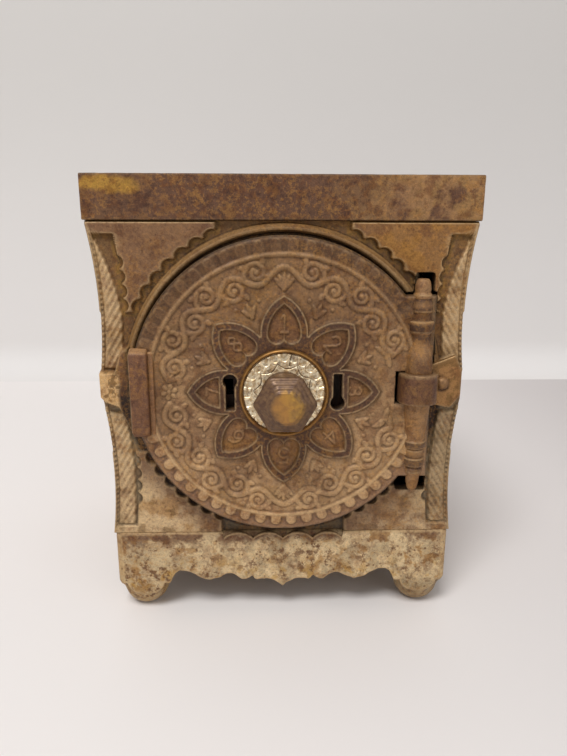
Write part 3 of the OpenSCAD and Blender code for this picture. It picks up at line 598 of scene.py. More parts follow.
class Finish(Nodes):
    """A material with a principled shader, on object coordinates."""

    def __init__(self, name):
        self.material = bpy.data.materials.new(name)
        super().__init__(self.material, "OutputMaterial")
        self.shader = self.add("BsdfPrincipled")
        self.give(self.output.inputs[0], self.shader.outputs[0])
        self.coordinates = self.add("TexCoord").outputs["Object"]

    def moved(self, seed, steps, scale=(1, 1, 1)):
        """Object coordinates moved by a seed along given steps."""
        place = {0: self.coordinates, "Location": [seed * step for step in steps], "Scale": scale}
        return self.add("Mapping", place).outputs[0]

    def noise(self, scale, detail, rough, seed, stretch=(1, 1, 1)):
        vector = self.moved(seed, (0.37, 0.61, 0.23), stretch)
        return self.add("TexNoise", {"Vector": vector, "Scale": scale, "Detail": detail,
                                     "Roughness": rough}).outputs["Fac"]

    def cells(self, scale, seed):
        """Distance to the nearest of scattered points."""
        vector = self.moved(seed, (0.31, 0.17, 0.53))
        return self.add("TexVoronoi", {"Vector": vector, "Scale": scale}).outputs["Distance"]

    def span(self, source, low, high, to_low=0.0, to_high=1.0):
        """Maps a value between two others, softly at both ends."""
        ends = {"Value": source, "From Min": low, "From Max": high, "To Min": to_low,
                "To Max": to_high}
        return self.add("MapRange", ends, interpolation_type="SMOOTHSTEP").outputs["Result"]

    def mix(self, factor, a, b, blend="MIX"):
        """One tone over another; the node's colours are its inputs 6 and 7 and its output 2."""
        node = self.add("Mix", {0: factor, 6: a, 7: b}, data_type="RGBA", blend_type=blend)
        return node.outputs[2]

    def attribute(self, name, output):
        return self.add("Attribute", attribute_name=name).outputs[output]

    def bump(self, height, strength, distance):
        node = self.add("Bump", {"Height": height, "Strength": strength, "Distance": distance})
        self.give(self.shader.inputs["Normal"], node.outputs[0])

    def surface(self, **inputs):
        """Sets or links the shader's inputs, named with _ for a space."""
        for key, value in inputs.items():
            self.give(self.shader.inputs[key.replace("_", " ")], value)


def iron_finish(name, seed, gilt, gilt_share=0.55, gilt_level=0.5, speck_share=0.75,
                speck_level=0.56, metallic=0.15, rough=(0.42, 0.75), grain=1.0, ground=None,
                blotches=0.35, mottle=0.75):
    """Cast iron with worn paint: mottling, old gilding, stains, grit and rust specks."""
    tones = settings()[2]
    n = Finish(name)
    broad = n.noise(42, 4, 0.6, seed)
    middle = n.noise(230, 6, 0.7, seed + 3)
    fine = n.noise(1000, 5, 0.7, seed + 5)
    grit = n.noise(3000, 2, 0.6, seed + 6)
    flakes = n.maths("ADD", n.times(fine, 0.55), n.times(middle, 0.45))
    place = n.span(broad, gilt_level - 0.1, gilt_level + 0.12, 0.2, 1.0)
    gilded = n.times(place, n.span(flakes, 0.485, 0.54, 0.0, gilt_share))
    tone = n.mix(gilded, n.attribute("Paint", "Color") if ground is None else ground, gilt)
    stained = n.mix(1.0, tone, (0.60, 0.50, 0.46), "MULTIPLY")
    tone = n.mix(n.span(n.noise(170, 7, 0.74, seed + 9), 0.49, 0.6, 0.0, mottle), tone, stained)
    flecks = n.span(n.noise(340, 7, 0.78, seed + 12), 0.53, 0.575)
    tone = n.mix(n.times(flecks, n.span(broad, 0.38, 0.6, 0.25 * blotches, blotches)), tone,
                 tones.rust)
    lighter = n.mix(1.0, tone, (1.42, 1.38, 1.28), "MULTIPLY")
    darker = n.mix(1.0, tone, (0.52, 0.48, 0.46), "MULTIPLY")
    for texture, low, high, share, shade in (
            (fine, 0.51, 0.68, 0.7, lighter), (fine, 0.48, 0.33, 0.7, darker),
            (grit, 0.52, 0.7, 0.45, lighter), (grit, 0.46, 0.3, 0.5, darker)):
        tone = n.mix(n.span(texture, low, high, 0.0, share), tone, shade)
    small = n.times(n.span(n.cells(620, seed), 0.36, 0.14),
                    n.span(middle, speck_level - 0.08, speck_level + 0.05))
    large = n.times(n.span(n.cells(240, seed + 4), 0.3, 0.16), n.span(fine, 0.44, 0.56))
    large = n.times(large, n.span(broad, 0.42, 0.56))
    tone = n.mix(n.times(n.maths("MAXIMUM", small, large), speck_share), tone, tones.rust)
    if ground is None:
        # Turns pale on worn bare edges and on the painted highlight along ridges.
        pale_edges = n.times(n.attribute("Wear", "Fac"),
                       n.span(n.noise(900, 3, 0.6, seed + 8), 0.3, 0.58, 0.3, 1.0))
        tone = n.mix(pale_edges, tone, tones.pale)
    n.surface(Base_Color=tone, Roughness=n.span(middle, 0.3, 0.75, *rough), Metallic=metallic,
              Specular_IOR_Level=0.3)
    height = n.maths("ADD", n.times(fine, 0.7), middle)
    n.bump(n.maths("ADD", height, n.times(grit, 0.18)), 0.6 * grain, 0.00045)


def metal_finish(name, seed, tone_a, tone_b, tarnish, rough=(0.25, 0.5), metallic=0.9,
                 tarnish_level=0.58, stretch=(1, 1, 1), painted=False, flecks=0.0, cover=0.1):
    """Bare metal with brushed grain, tarnish and grime."""
    n = Finish(name)
    broad = n.noise(90, 4, 0.6, seed)
    fine = n.noise(900, 3, 0.6, seed + 2, stretch)
    tone = n.mix(n.span(fine, 0.3, 0.7), tone_a, tone_b)
    if painted:
        spot = n.times(n.attribute("Wear", "Fac"),
                       n.span(n.noise(330, 4, 0.65, seed + 7), 0.36, 0.5, cover, 1.0))
        tone = n.mix(spot, tone, n.attribute("Paint", "Color"))
    tone = n.mix(n.span(broad, tarnish_level, tarnish_level + 0.16, 0.0, 0.85), tone, tarnish)
    if flecks:
        tone = n.mix(n.times(n.span(n.noise(800, 5, 0.7, seed + 4), 0.51, 0.57),
                             n.span(n.noise(160, 3, 0.6, seed + 6), 0.38, 0.54, 0.1, flecks)),
                     tone, tarnish)
    n.surface(Base_Color=tone, Roughness=n.span(broad, 0.35, 0.7, *rough), Metallic=metallic)
    n.bump(fine, 0.15, 0.0002)


def make_finishes():
    """All finishes, each under its name."""
    c = settings()[2]
    iron_finish("lid_iron_finish", 1.0, c.gold, gilt_level=0.49, gilt_share=0.5, blotches=0.6,
                mottle=0.95)
    iron_finish("base_iron_finish", 2.0, c.gold, gilt_share=0.5, speck_share=0.85,
                speck_level=0.54, blotches=0.8, mottle=0.6)
    iron_finish("relief_iron_finish", 3.0, c.gold, gilt_share=0.42, speck_share=0.5,
                blotches=0.25)
    iron_finish("lock_iron_finish", 5.0, c.steel, gilt_share=0.3, ground=c.dark)
    iron_finish("strap_iron_finish", 6.0, c.bronze, rough=(0.3, 0.55), metallic=0.35,
                grain=0.6, speck_share=0.4, blotches=0.2)
    metal_finish("nickel_finish", 7.0, c.nickel, c.pale, c.rust, painted=True,
                 tarnish_level=0.66, flecks=0.55, metallic=0.75)
    metal_finish("bezel_brass_finish", 8.0, c.gold, c.bronze, c.rust, rough=(0.3, 0.55),
                 metallic=0.7, tarnish_level=0.5)
    metal_finish("knob_finish", 9.0, 0.6 * c.iron, 0.6 * c.tan, c.dark, rough=(0.35, 0.6),
                 metallic=0.35, painted=True, cover=0.6)
    metal_finish("disc_brass_finish", 10.0, 0.5 * c.rust, c.dark, c.dark, stretch=(1, 1, 0.2),
                 metallic=0.4, rough=(0.5, 0.7))
    metal_finish("steel_finish", 11.0, c.steel, c.pale, c.dark, rough=(0.3, 0.55))


def dress(piece, finish):
    """Gives a piece or a CAD node its finish."""
    if finish not in bpy.data.materials:
        make_finishes()
    material = bpy.data.materials[finish]
    if piece.material_slots:
        for slot in piece.material_slots:
            slot.material = material
    else:
        piece.data.materials.append(material)


# Door

# Strokes of the plain numbers, each about one unit tall round its middle
DIGITS = {
    1: [[(-0.18, 0.34), (0.02, 0.5), (0.02, -0.5)], [(-0.2, -0.5), (0.24, -0.5)]],
    2: [[(-0.3, 0.26), (-0.2, 0.44), (0.04, 0.5), (0.27, 0.36), (0.24, 0.1), (-0.02, -0.18),
         (-0.3, -0.48)], [(-0.3, -0.48), (0.32, -0.48)]],
    3: [[(-0.28, 0.38), (-0.02, 0.5), (0.25, 0.36), (0.2, 0.12), (-0.04, 0.04)],
        [(-0.04, 0.04), (0.24, -0.06), (0.28, -0.32), (0.0, -0.5), (-0.3, -0.38)]],
    4: [[(0.14, -0.5), (0.14, 0.5)], [(0.14, 0.5), (-0.3, -0.16)], [(-0.3, -0.16), (0.32, -0.16)]],
    5: [[(0.26, 0.48), (-0.22, 0.48)], [(-0.22, 0.48), (-0.26, 0.06)],
        [(-0.26, 0.06), (0.04, 0.14), (0.28, -0.08), (0.22, -0.38), (-0.04, -0.5), (-0.3, -0.38)]],
    6: [[(0.22, 0.44), (-0.1, 0.34), (-0.28, 0.0), (-0.22, -0.36), (0.02, -0.5), (0.26, -0.3),
         (0.2, -0.04), (0.0, 0.04), (-0.24, -0.12)]],
    7: [[(-0.28, 0.48), (0.3, 0.48)], [(0.3, 0.48), (0.06, 0.0), (-0.06, -0.5)]],
    8: [[(0.0, 0.04), (-0.22, 0.26), (0.0, 0.48), (0.22, 0.26), (0.0, 0.04), (-0.26, -0.22),
         (0.0, -0.5), (0.26, -0.22), (0.0, 0.04)]],
}


def rings_of(*spans):
    """Radii from spans of start, end and step."""
    out = [np.linspace(start, end, max(2, round((end - start) / step) + 1))[:-1]
           for start, end, step in spans]
    return np.concatenate(out + [[spans[-1][1]]])


def door_depths():
    """Front and back of the door's plate, behind the lid's face."""
    door = settings()[1]
    return -door.proud, door.thickness - door.proud


class COINBANK_OT_door(bpy.types.Operator):
    """Build the door's face with its rosette, numbers, scrolls and lobed rim"""
    bl_idname = "coinbank.door"
    bl_label = "Door face"

    def execute(self, context):
        _, door, tones = settings()
        field = door.field_radius
        face, back = door_depths()
        angles, limit = self.outline(door.radius)
        inner = rings_of((3.0, 13.0, 2.5), (13.0, 20.0, 0.4), (20.0, field + 0.8, 0.32))
        outer = np.linspace(0, 1, 19)[1:]
        start = inner[-1]
        rings = np.vstack([np.repeat(inner[:, None], len(angles), 1),
                           start + outer[:, None] * (limit - start)[None]])
        x, z = rings * np.cos(angles), rings * np.sin(angles)
        relief = Relief(x, z)
        self.ornament(relief)
        r, angle = np.hypot(relief.x, relief.z), np.arctan2(relief.z, relief.x)
        line, lobes, low = self.rim(relief, r, angle)
        rosette, hollow, rim_line, heart_line = self.rosette(relief, r, angle)
        digits = self.numbers(relief)
        unrolled = relief.height.copy()
        beyond_edge = r - np.tile(limit, len(rings))
        relief.height -= 0.9 * unit(1 + beyond_edge / 1.3) ** 2
        relief.height += cast_skin(relief.x, relief.z, 11, (2.0, 0.09), (0.7, 0.035))
        depth = (face - relief.height).reshape(rings.shape)
        points = np.vstack([placed(x, depth, z + DOOR_Z), placed(x[-1], back, z[-1] + DOOR_Z)])
        shell = points, tube_faces(len(rings) + 1, len(angles))
        piece = new_piece("door_face", shell, "door_leaf", "door")

        upper = unit(0.5 + relief.z / 50)
        stain = patches(relief.x, relief.z, 71, 14.0, 0.15, 0.7)
        gilt = patches(relief.x, relief.z, 72, 9.0, 0.2, 0.8)
        in_rim = unit((r - field - 0.8) / 0.5)
        ground = layered(1.12 * tones.tan + 0.35 * tones.olive, (tones.tan, upper))
        ground = ground * (1 - 0.14 * unit(relief.x / 30) * (1 - upper))[:, None]
        rim = layered(1.25 * tones.iron + 0.17 * tones.olive, (0.8 * tones.iron, upper))
        floor = 0.3 * tones.bronze + 0.4 * tones.iron + 0.35 * tones.rust
        floors = layered(0.75 * floor + 0.5 * tones.tan, (1.1 * floor, upper))
        # Painted shade on the low field between the ornaments, stronger towards the top.
        deep = unit(0.35 - unrolled) * (r < field - 0.6) * (1 - rosette) * (0.25 + 0.3 * upper)
        tint = layered(
            ground,
            (tones.bronze, 0.45 * gilt),
            (tones.iron, 0.5 * stain * (1 - rosette)),
            (rim, in_rim * (1 - 0.95 * lobes)),
            (0.45 * tones.bronze, 0.5 * in_rim * upper * (1 - lobes)),
            (tones.tan + 0.4 * tones.olive, 0.62 * lobes * low),
            (0.58 * tones.iron, unit(rosette * 1.2)),
            (floors, hollow),
            (0.75 * tones.gold, 0.5 * hollow * gilt),
            # Painted shade along the door's edge, where it turns down into the gap.
            (tones.dark, 0.85 * unit((beyond_edge + 0.7) / 0.4)),
            (tones.dark, deep))
        ornament = relief.mark * (1 - rosette)
        tint = tint * (1 - upper * np.maximum(0.14 * ornament, 0.3 * line))[:, None]
        wear_and_highlight = np.clip(0.48 * rim_line + 0.42 * heart_line * (rosette > 0.3)
                       + (0.1 + 0.3 * low) * stripe(r - field, 0.4, 0.4)
                       + 0.08 * relief.mark * ornament + 0.25 * digits, 0, 0.8)
        for hole in self.keyholes():
            away = polygon_distance(relief.x, relief.z + DOOR_Z, hole)
            wear_and_highlight = np.maximum(wear_and_highlight, 0.55 * stripe(away - 0.3, 0.15, 0.3))
        paint_points(piece, tint, wear_and_highlight)
        cut(piece, self.keyholes() + [self.window()], back + 1, face - 8)
        piece.data.shade_smooth()
        shaded_and_worn(piece, hollow=0.4, ridge=0.16, fine=0.06, broad=0.26)
        dress(piece, "relief_iron_finish")
        return {"FINISHED"}

    def outline(self, radius):
        """Directions and reach of the door's edge: a disc, squared where the hinge stands."""
        edge_x, lobe_x, lobe_up, lobe_down = 47.2, 37.5, 30.34, 29.54
        corners = [math.atan2(rise, x) for rise in (lobe_up, -lobe_down) for x in (lobe_x, edge_x)]
        angles = directions(720, corners)
        cosine, sine = np.cos(angles), np.sin(angles)
        right = cosine > 0.1
        flat = edge_x / np.where(right, cosine, 1)
        rise = np.where(sine >= 0, lobe_up, lobe_down) / np.maximum(np.abs(sine), 1e-6)
        limit = np.where(right, np.minimum(radius, flat), radius)
        square = np.where(right, np.minimum(flat, rise), 0)
        beside = square * cosine >= lobe_x - 0.02
        return angles, np.where(beside, np.maximum(limit, square), limit)

    def rim(self, relief, r, angle):
        """The raised line and the tongues outside it, which stand out more below."""
        door, half = settings()[1], 1.6
        low = unit(0.4 - np.sin(angle))
        line = 0.65 * stripe(r - door.field_radius, 0.55, 0.5)
        local = folded(angle, TURN / door.lobes, QUARTER)
        reach = door.field_radius + 3.4 - 1.5 * low
        along, across = r * np.cos(local), r * np.sin(local)
        tongue = np.where(r > reach, np.hypot(along - reach, across), np.abs(across)) - half
        lobes = inside(tongue, 0.6) * (r > door.field_radius) * (0.25 + 0.75 * low)
        relief.raise_to(line)
        relief.raise_to(0.55 * lobes)
        return line, lobes, low

    def rosette(self, relief, r, angle):
        """Eight petals, each with a heart sunk in it."""
        door = settings()[1]
        sector = folded(angle, math.pi / 4, -math.pi / 8)
        along, across = r * np.cos(sector), r * np.sin(sector)
        reach, width = door.petal_reach, door.petal_width
        hub, petal_waist, heart_waist, lobe_at = 19.6, 18.8, 18.4, 18.3
        petals = np.minimum(lens_distance(along, across, reach, width, petal_waist), r - hub)
        rosette = relief.plate(petals, door.rosette_height, 0.7)
        heart = np.maximum(lens_distance(along, across, reach - 3.2, width * 0.645, heart_waist),
                           heart_waist - along)
        for side in (1, -1):
            lobe = np.hypot(along - lobe_at, across - side * width * 0.158) - width * 0.163
            heart = np.minimum(heart, lobe)
        beside_keyhole = np.abs(np.sin(angle)) < math.sin(math.pi / 8)
        heart = np.where(beside_keyhole, np.maximum(heart, hub + 1 - along), heart)
        hollow = relief.plate(heart, 0.1, 0.6)
        rim_line, heart_line = stripe(petals + 0.45, 0.22, 0.45), stripe(heart - 0.3, 0.2, 0.45)
        relief.height += 0.16 * rim_line + 0.12 * heart_line
        return rosette, hollow, rim_line, heart_line

    def keyholes(self):
        """Keyholes left and right of the dial, the right one upside down."""
        bow, rise, slot, drop = 2.25, 3.6, 1.35, 5.85
        head = [(bow * math.cos(a), rise + bow * math.sin(a))
                for a in np.linspace(-0.9, math.pi + 0.9, 22)]
        head += [(-slot, -drop), (slot, -drop)]
        return [softened([(x + a, DOOR_Z + b * up) for a, b in head], 0.25, 3)
                for x, up in ((-17.0, 1), (17.0, -1))]

    def window(self):
        """The window behind the strap's eye."""
        left, right, low, high = 35.4, 60, DOOR_Z - 4.2, DOOR_Z + 6.4
        return [(left, low), (right, low), (right, high), (left, high)]

    def numbers(self, relief):
        """Plain numbers 1 to 8, clockwise from the top, each upright in its heart."""
        tall, middle, half_stroke, rise = 5.2, 21.6, 0.42, 0.42
        before = relief.mark.copy()
        relief.mark[:] = 0
        for number, lines in DIGITS.items():
            beside_keyhole = number in (3, 7)
            scale, reach = (0.8 * tall, middle + 0.9) if beside_keyhole else (tall, middle)
            turn = QUARTER - (number - 1) * math.pi / 4
            out, side = on_circle(turn, 1), on_circle(turn - QUARTER, 1)
            for line in lines:
                line = spline(line, 8) if len(line) > 2 else np.linspace(*line, 16)
                at = out * reach + line[:, :1] * scale * side + line[:, 1:] * scale * out
                relief.stroke(at, half_stroke, rise, base=0.1)
        marked = relief.mark.copy()
        relief.mark = before
        return marked

    def ornament(self, relief):
        """A running vine with volutes and leaves, palmettes, a flower and fronds."""
        band, swing, step = 36.6, 2.3, math.pi / 14
        t = np.linspace(-0.5, 0.5, 20)
        for side, gaps in ((1, (6, 7, 8)), (-1, (7,))):
            for k in range(15):
                if k in gaps:
                    continue
                turns = QUARTER - side * (k + t) * step
                radii = band + swing * np.cos(math.pi * (k + t))
                relief.stroke(np.c_[np.cos(turns) * radii, np.sin(turns) * radii], 0.95, 0.68)
                if 0 < k < 14:
                    self.volute(relief, QUARTER - side * k * step, band, side,
                                1 if k % 2 == 0 else -1)
        for turn in (QUARTER, -QUARTER):
            self.palmette(relief, turn, 32.4, 5.0, 0.85)
        self.flower(relief, math.pi, 36.2)
        for sign in (1, -1):
            for x, rise, lean, reach, bend in ((32.6, 8.2, 0.35, 5.6, 0.9),
                                               (33.6, 6.6, 0.1, 5.0, -0.7),
                                               (31.9, 10.4, 0.9, 4.6, 1.1),
                                               (34.2, 9.6, -0.2, 4.4, -1.0)):
                relief.leaf((x, rise * sign + 1.1), sign * (QUARTER + lean), reach, 0.8, 0.5,
                            sign * bend)
        for k in range(8):
            turn = QUARTER - (k + 0.5) * math.pi / 4
            self.palmette(relief, turn, 25.6, 4.4, 0.75, 3)
            for aside in (-0.13, 0.13):
                relief.dome(on_circle(turn + aside, 29.8), 0.6, 0.6, 0, 0.45)

    def volute(self, relief, turn, band, side, outer):
        """A volute that leaves the vine and curls up in its hollow, with leaves."""
        along = np.array([-math.sin(turn), math.cos(turn)]) * side
        out = on_circle(turn, 1.0) * outer
        centre = on_circle(turn, band - 1.6 * outer)
        t = np.linspace(0, 1, 70)
        begin, sweep = math.radians(158), math.radians(440)
        swing = begin + t * sweep
        radius = np.interp(t, [0, 0.1, 0.22, 1], [4.3, 3.3, 2.85, 1.2])
        line = centre + (radius * np.cos(swing))[:, None] * along \
            + (radius * np.sin(swing))[:, None] * out
        relief.stroke(line, 0.84, 0.52, tip=0.66)
        relief.dome(centre, 0.95, 0.95, 0, 0.6)
        for lean, reach, place in ((-2.5, 2.4, 3.25), (-0.75, 2.0, 3.2), (0.6, 1.6, 3.1)):
            root = centre + place * (math.cos(lean) * along + math.sin(lean) * out)
            heading = lean - 0.5
            aim = math.cos(heading) * along + math.sin(heading) * out
            relief.leaf(root, math.atan2(aim[1], aim[0]), reach, 0.8, 0.45)

    def palmette(self, relief, turn, radius, reach, width, leaves=5):
        """A fan of leaves that spreads outward from a bud."""
        root = on_circle(turn, radius)
        relief.dome(root, 0.8, 0.8, 0, 0.6)
        for i in range(leaves):
            lean = (i - (leaves - 1) / 2) * 1.9 / leaves
            relief.leaf(root, turn + lean, reach * (1 - 0.16 * abs(lean)), width, 0.55,
                        0.6 * lean)

    def flower(self, relief, turn, radius):
        """A flower of six petals between two sprays of leaves."""
        centre = on_circle(turn, radius)
        for i in range(6):
            swing = i * math.pi / 3 + 0.3
            relief.dome(centre + on_circle(swing, 1.75), 1.05, 0.8, swing, 0.5)
        relief.dome(centre, 0.8, 0.8, 0, 0.75)
        for side in (1, -1):
            for lean in (-0.5, 0.0, 0.5):
                relief.leaf(centre + np.array([0, 3.0 * side]), side * QUARTER + lean,
                            3.3, 0.7, 0.5, lean)


# Baluster profile: height as a share of the whole, radius as a share of the journal's
BALUSTER = [(0.003, 0.2), (0.02, 0.38), (0.05, 0.47), (0.088, 0.53), (0.094, 0.62),
            (0.103, 0.67), (0.118, 0.67), (0.124, 0.58), (0.13, 0.62), (0.137, 0.74),
            (0.171, 0.78), (0.176, 0.64), (0.182, 0.68), (0.211, 0.72), (0.219, 0.66),
            (0.225, 0.8), (0.255, 0.84), (0.262, 0.72), (0.275, 0.75), (0.322, 0.83),
            (0.38, 0.92), (0.435, 0.98), (0.46, 1.0), (0.59, 0.99), (0.63, 0.94), (0.66, 0.88),
            (0.69, 0.79), (0.714, 0.7), (0.735, 0.64), (0.752, 0.66), (0.758, 0.76),
            (0.77, 0.86), (0.79, 0.92), (0.81, 0.9), (0.814, 0.66), (0.83, 0.63), (0.848, 0.64),
            (0.853, 0.72), (0.862, 0.77), (0.88, 0.72), (0.903, 0.62), (0.908, 0.56),
            (0.913, 0.62), (0.922, 0.66), (0.931, 0.62), (0.936, 0.53), (0.95, 0.57),
            (0.97, 0.54), (0.99, 0.44), (0.998, 0.3)]


class COINBANK_OT_hinge(bpy.types.Operator):
    """Build the baluster, the grip bar and the works on the door's back"""
    bl_idname = "coinbank.hinge"
    bl_label = "Baluster, grip and skirt"

    def execute(self, context):
        face, back = door_depths()
        self.baluster(face)
        self.grip(face)
        self.works(back)
        return {"FINISHED"}

    def baluster(self, face):
        """The turned baluster that the door swings on."""
        tones = settings()[2]
        axis_x, axis_depth, journal = 42.8, face + 1.0, 4.4
        foot, tall = DOOR_Z + 0.4 - 35.3, 70.6
        outline = softened([(r * journal, foot + h * tall) for h, r in BALUSTER], 0.3)[3:-3]
        shell = lathe(outline, (axis_x, axis_depth), "Z", 72)
        piece = new_piece("door_baluster", shell, "door_leaf", "door")
        x, depth, z = places(piece)
        height, radius = (z - foot) / tall, np.hypot(x - axis_x, depth - axis_depth)
        wear_and_highlight = 0.35 * sum(stripe(height - edge, 0.003, 0.005) for edge in (
            0.105, 0.137, 0.171, 0.211, 0.225, 0.255, 0.765, 0.811, 0.856, 0.89, 0.926))
        band = sum(stripe(height - middle, wide, 0.02) for middle, wide in (
            (0.154, 0.018), (0.24, 0.016), (0.784, 0.02), (0.866, 0.009)))
        band += 0.45 * stripe(height - 0.6, 0.05, 0.04)
        band += unit((0.74 - radius / journal) * 8) * (height > 0.1) * (height < 0.91)
        stain = patches(x * 1.5, z, 75, 6.0, 0.0, 0.6)
        paint_points(piece, layered(tones.tan, (tones.gold, 0.35 * stain),
                                    (0.5 * tones.iron, unit(band))), wear_and_highlight)
        shaded_and_worn(piece, hollow=0.7, ridge=0.2, fine=0.1, broad=0.8)
        dress(piece, "relief_iron_finish")

    def grip(self, face):
        """The grip bar, with a low rib along its inner side."""
        tones = settings()[2]
        left, seam, right = -48.2, -42.4, -40.8
        foot, root = face + 0.6, face - 0.5
        bar = softened([(-15, foot), (-15, face), (-13.2, face - 2.5), (12.6, face - 2.5),
                        (14, face), (14, foot)], 0.7)
        rib = softened([(-14, foot), (-14, root), (-13.6, face - 0.9), (12.6, face - 0.9),
                        (13, root), (13, foot)], 0.3, 3)
        shell = join_shells(self.bar(bar, left, seam, 0.7),
                            self.bar(rib, seam - 0.05, right, 0.35))
        piece = new_piece("door_grip", shell, "door_leaf", "door")
        x, depth, z = places(piece)
        bevel = unit((z - DOOR_Z - 12.4) / 0.5)
        on_rib = (x > seam - 0.1) * unit((depth - face + 1) / 0.2)
        paint_points(piece, layered(1.15 * tones.iron,
                                    (1.15 * tones.tan, unit(bevel + 0.8 * on_rib))),
                     0.25 * unit((left + 0.4 - x) / 0.2))
        dress(piece, "relief_iron_finish")

    def bar(self, outline, left, right, edge):
        """A bar along the width of an outline in height and depth, with rounded flanks."""
        up, depth = outline.T
        middle = up.mean()
        turn = np.linspace(0, QUARTER, 5)
        ends = list(zip(left + edge * (1 - np.sin(turn)), edge * (1 - np.cos(turn))))
        ends = ends[::-1] + [(left + right - x, shrink) for x, shrink in ends]
        rings = [placed(x, np.minimum(depth + shrink, depth.max()),
                        middle + (up - middle) * (1 - shrink / np.ptp(up) * 2) + DOOR_Z)
                 for x, shrink in ends]
        return np.vstack(rings), tube_faces(len(rings), len(outline))

    def works(self, back):
        """The skirt, the spindle's boss and the bridge's two posts on the door's back."""
        radius, rear, steps = settings()[1].radius, 1.5, 160
        cut_x, wall, root, post_rise = 40.0, 3, back - 0.3, 33.3
        rings = []
        for edge, depth in ((radius - 0.2, root), (radius - 0.2, rear), (radius - wall, rear),
                            (radius - wall, root)):
            start = math.acos(cut_x / edge)
            turn = np.linspace(start, TURN - start, steps)
            rings.append(placed(edge * np.cos(turn), depth, DOOR_Z + edge * np.sin(turn)))
        skirt = np.stack(rings, axis=1).reshape(-1, 3), tube_faces(steps, len(rings))
        boss = lathe([(5.5, root), (5.5, back + 2.4), (5.2, back + 2.75), (2.5, back + 2.75)],
                     (0, DOOR_Z), "Y", 48)
        posts = [lathe([(3.4, root), (3.0, back + 0.6), (3.0, 6.7)], (0, DOOR_Z + rise), "Y", 40)
                 for rise in (-post_rise, post_rise)]
        piece = new_piece("door_back_works", join_shells(skirt, boss, *posts), "door_leaf",
                          "door")
        piece.data.shade_flat()
        dress(piece, "lock_iron_finish")


# Case

# The lug that the grip bar closes against, from the door's middle
LUG = [(-49.3, 13.6), (-51.9, 12.2), (-54.5, 5), (-60.0, 5), (-60.0, -2.5), (-57.9, -5),
       (-53.6, -6.6), (-50.2, -14.4), (-49.3, -14.4)]
# The five-sided pad under the strap, from the door's middle
PAD = [(47.8, 7.42), (55.87, 10.6), (58.2, 5), (58.2, -3), (54.89, -7.2), (47.8, -5.62)]
PAD_HEIGHT = 2.0
RIVET_X, RIVET_RISE = 51.8, 1.4


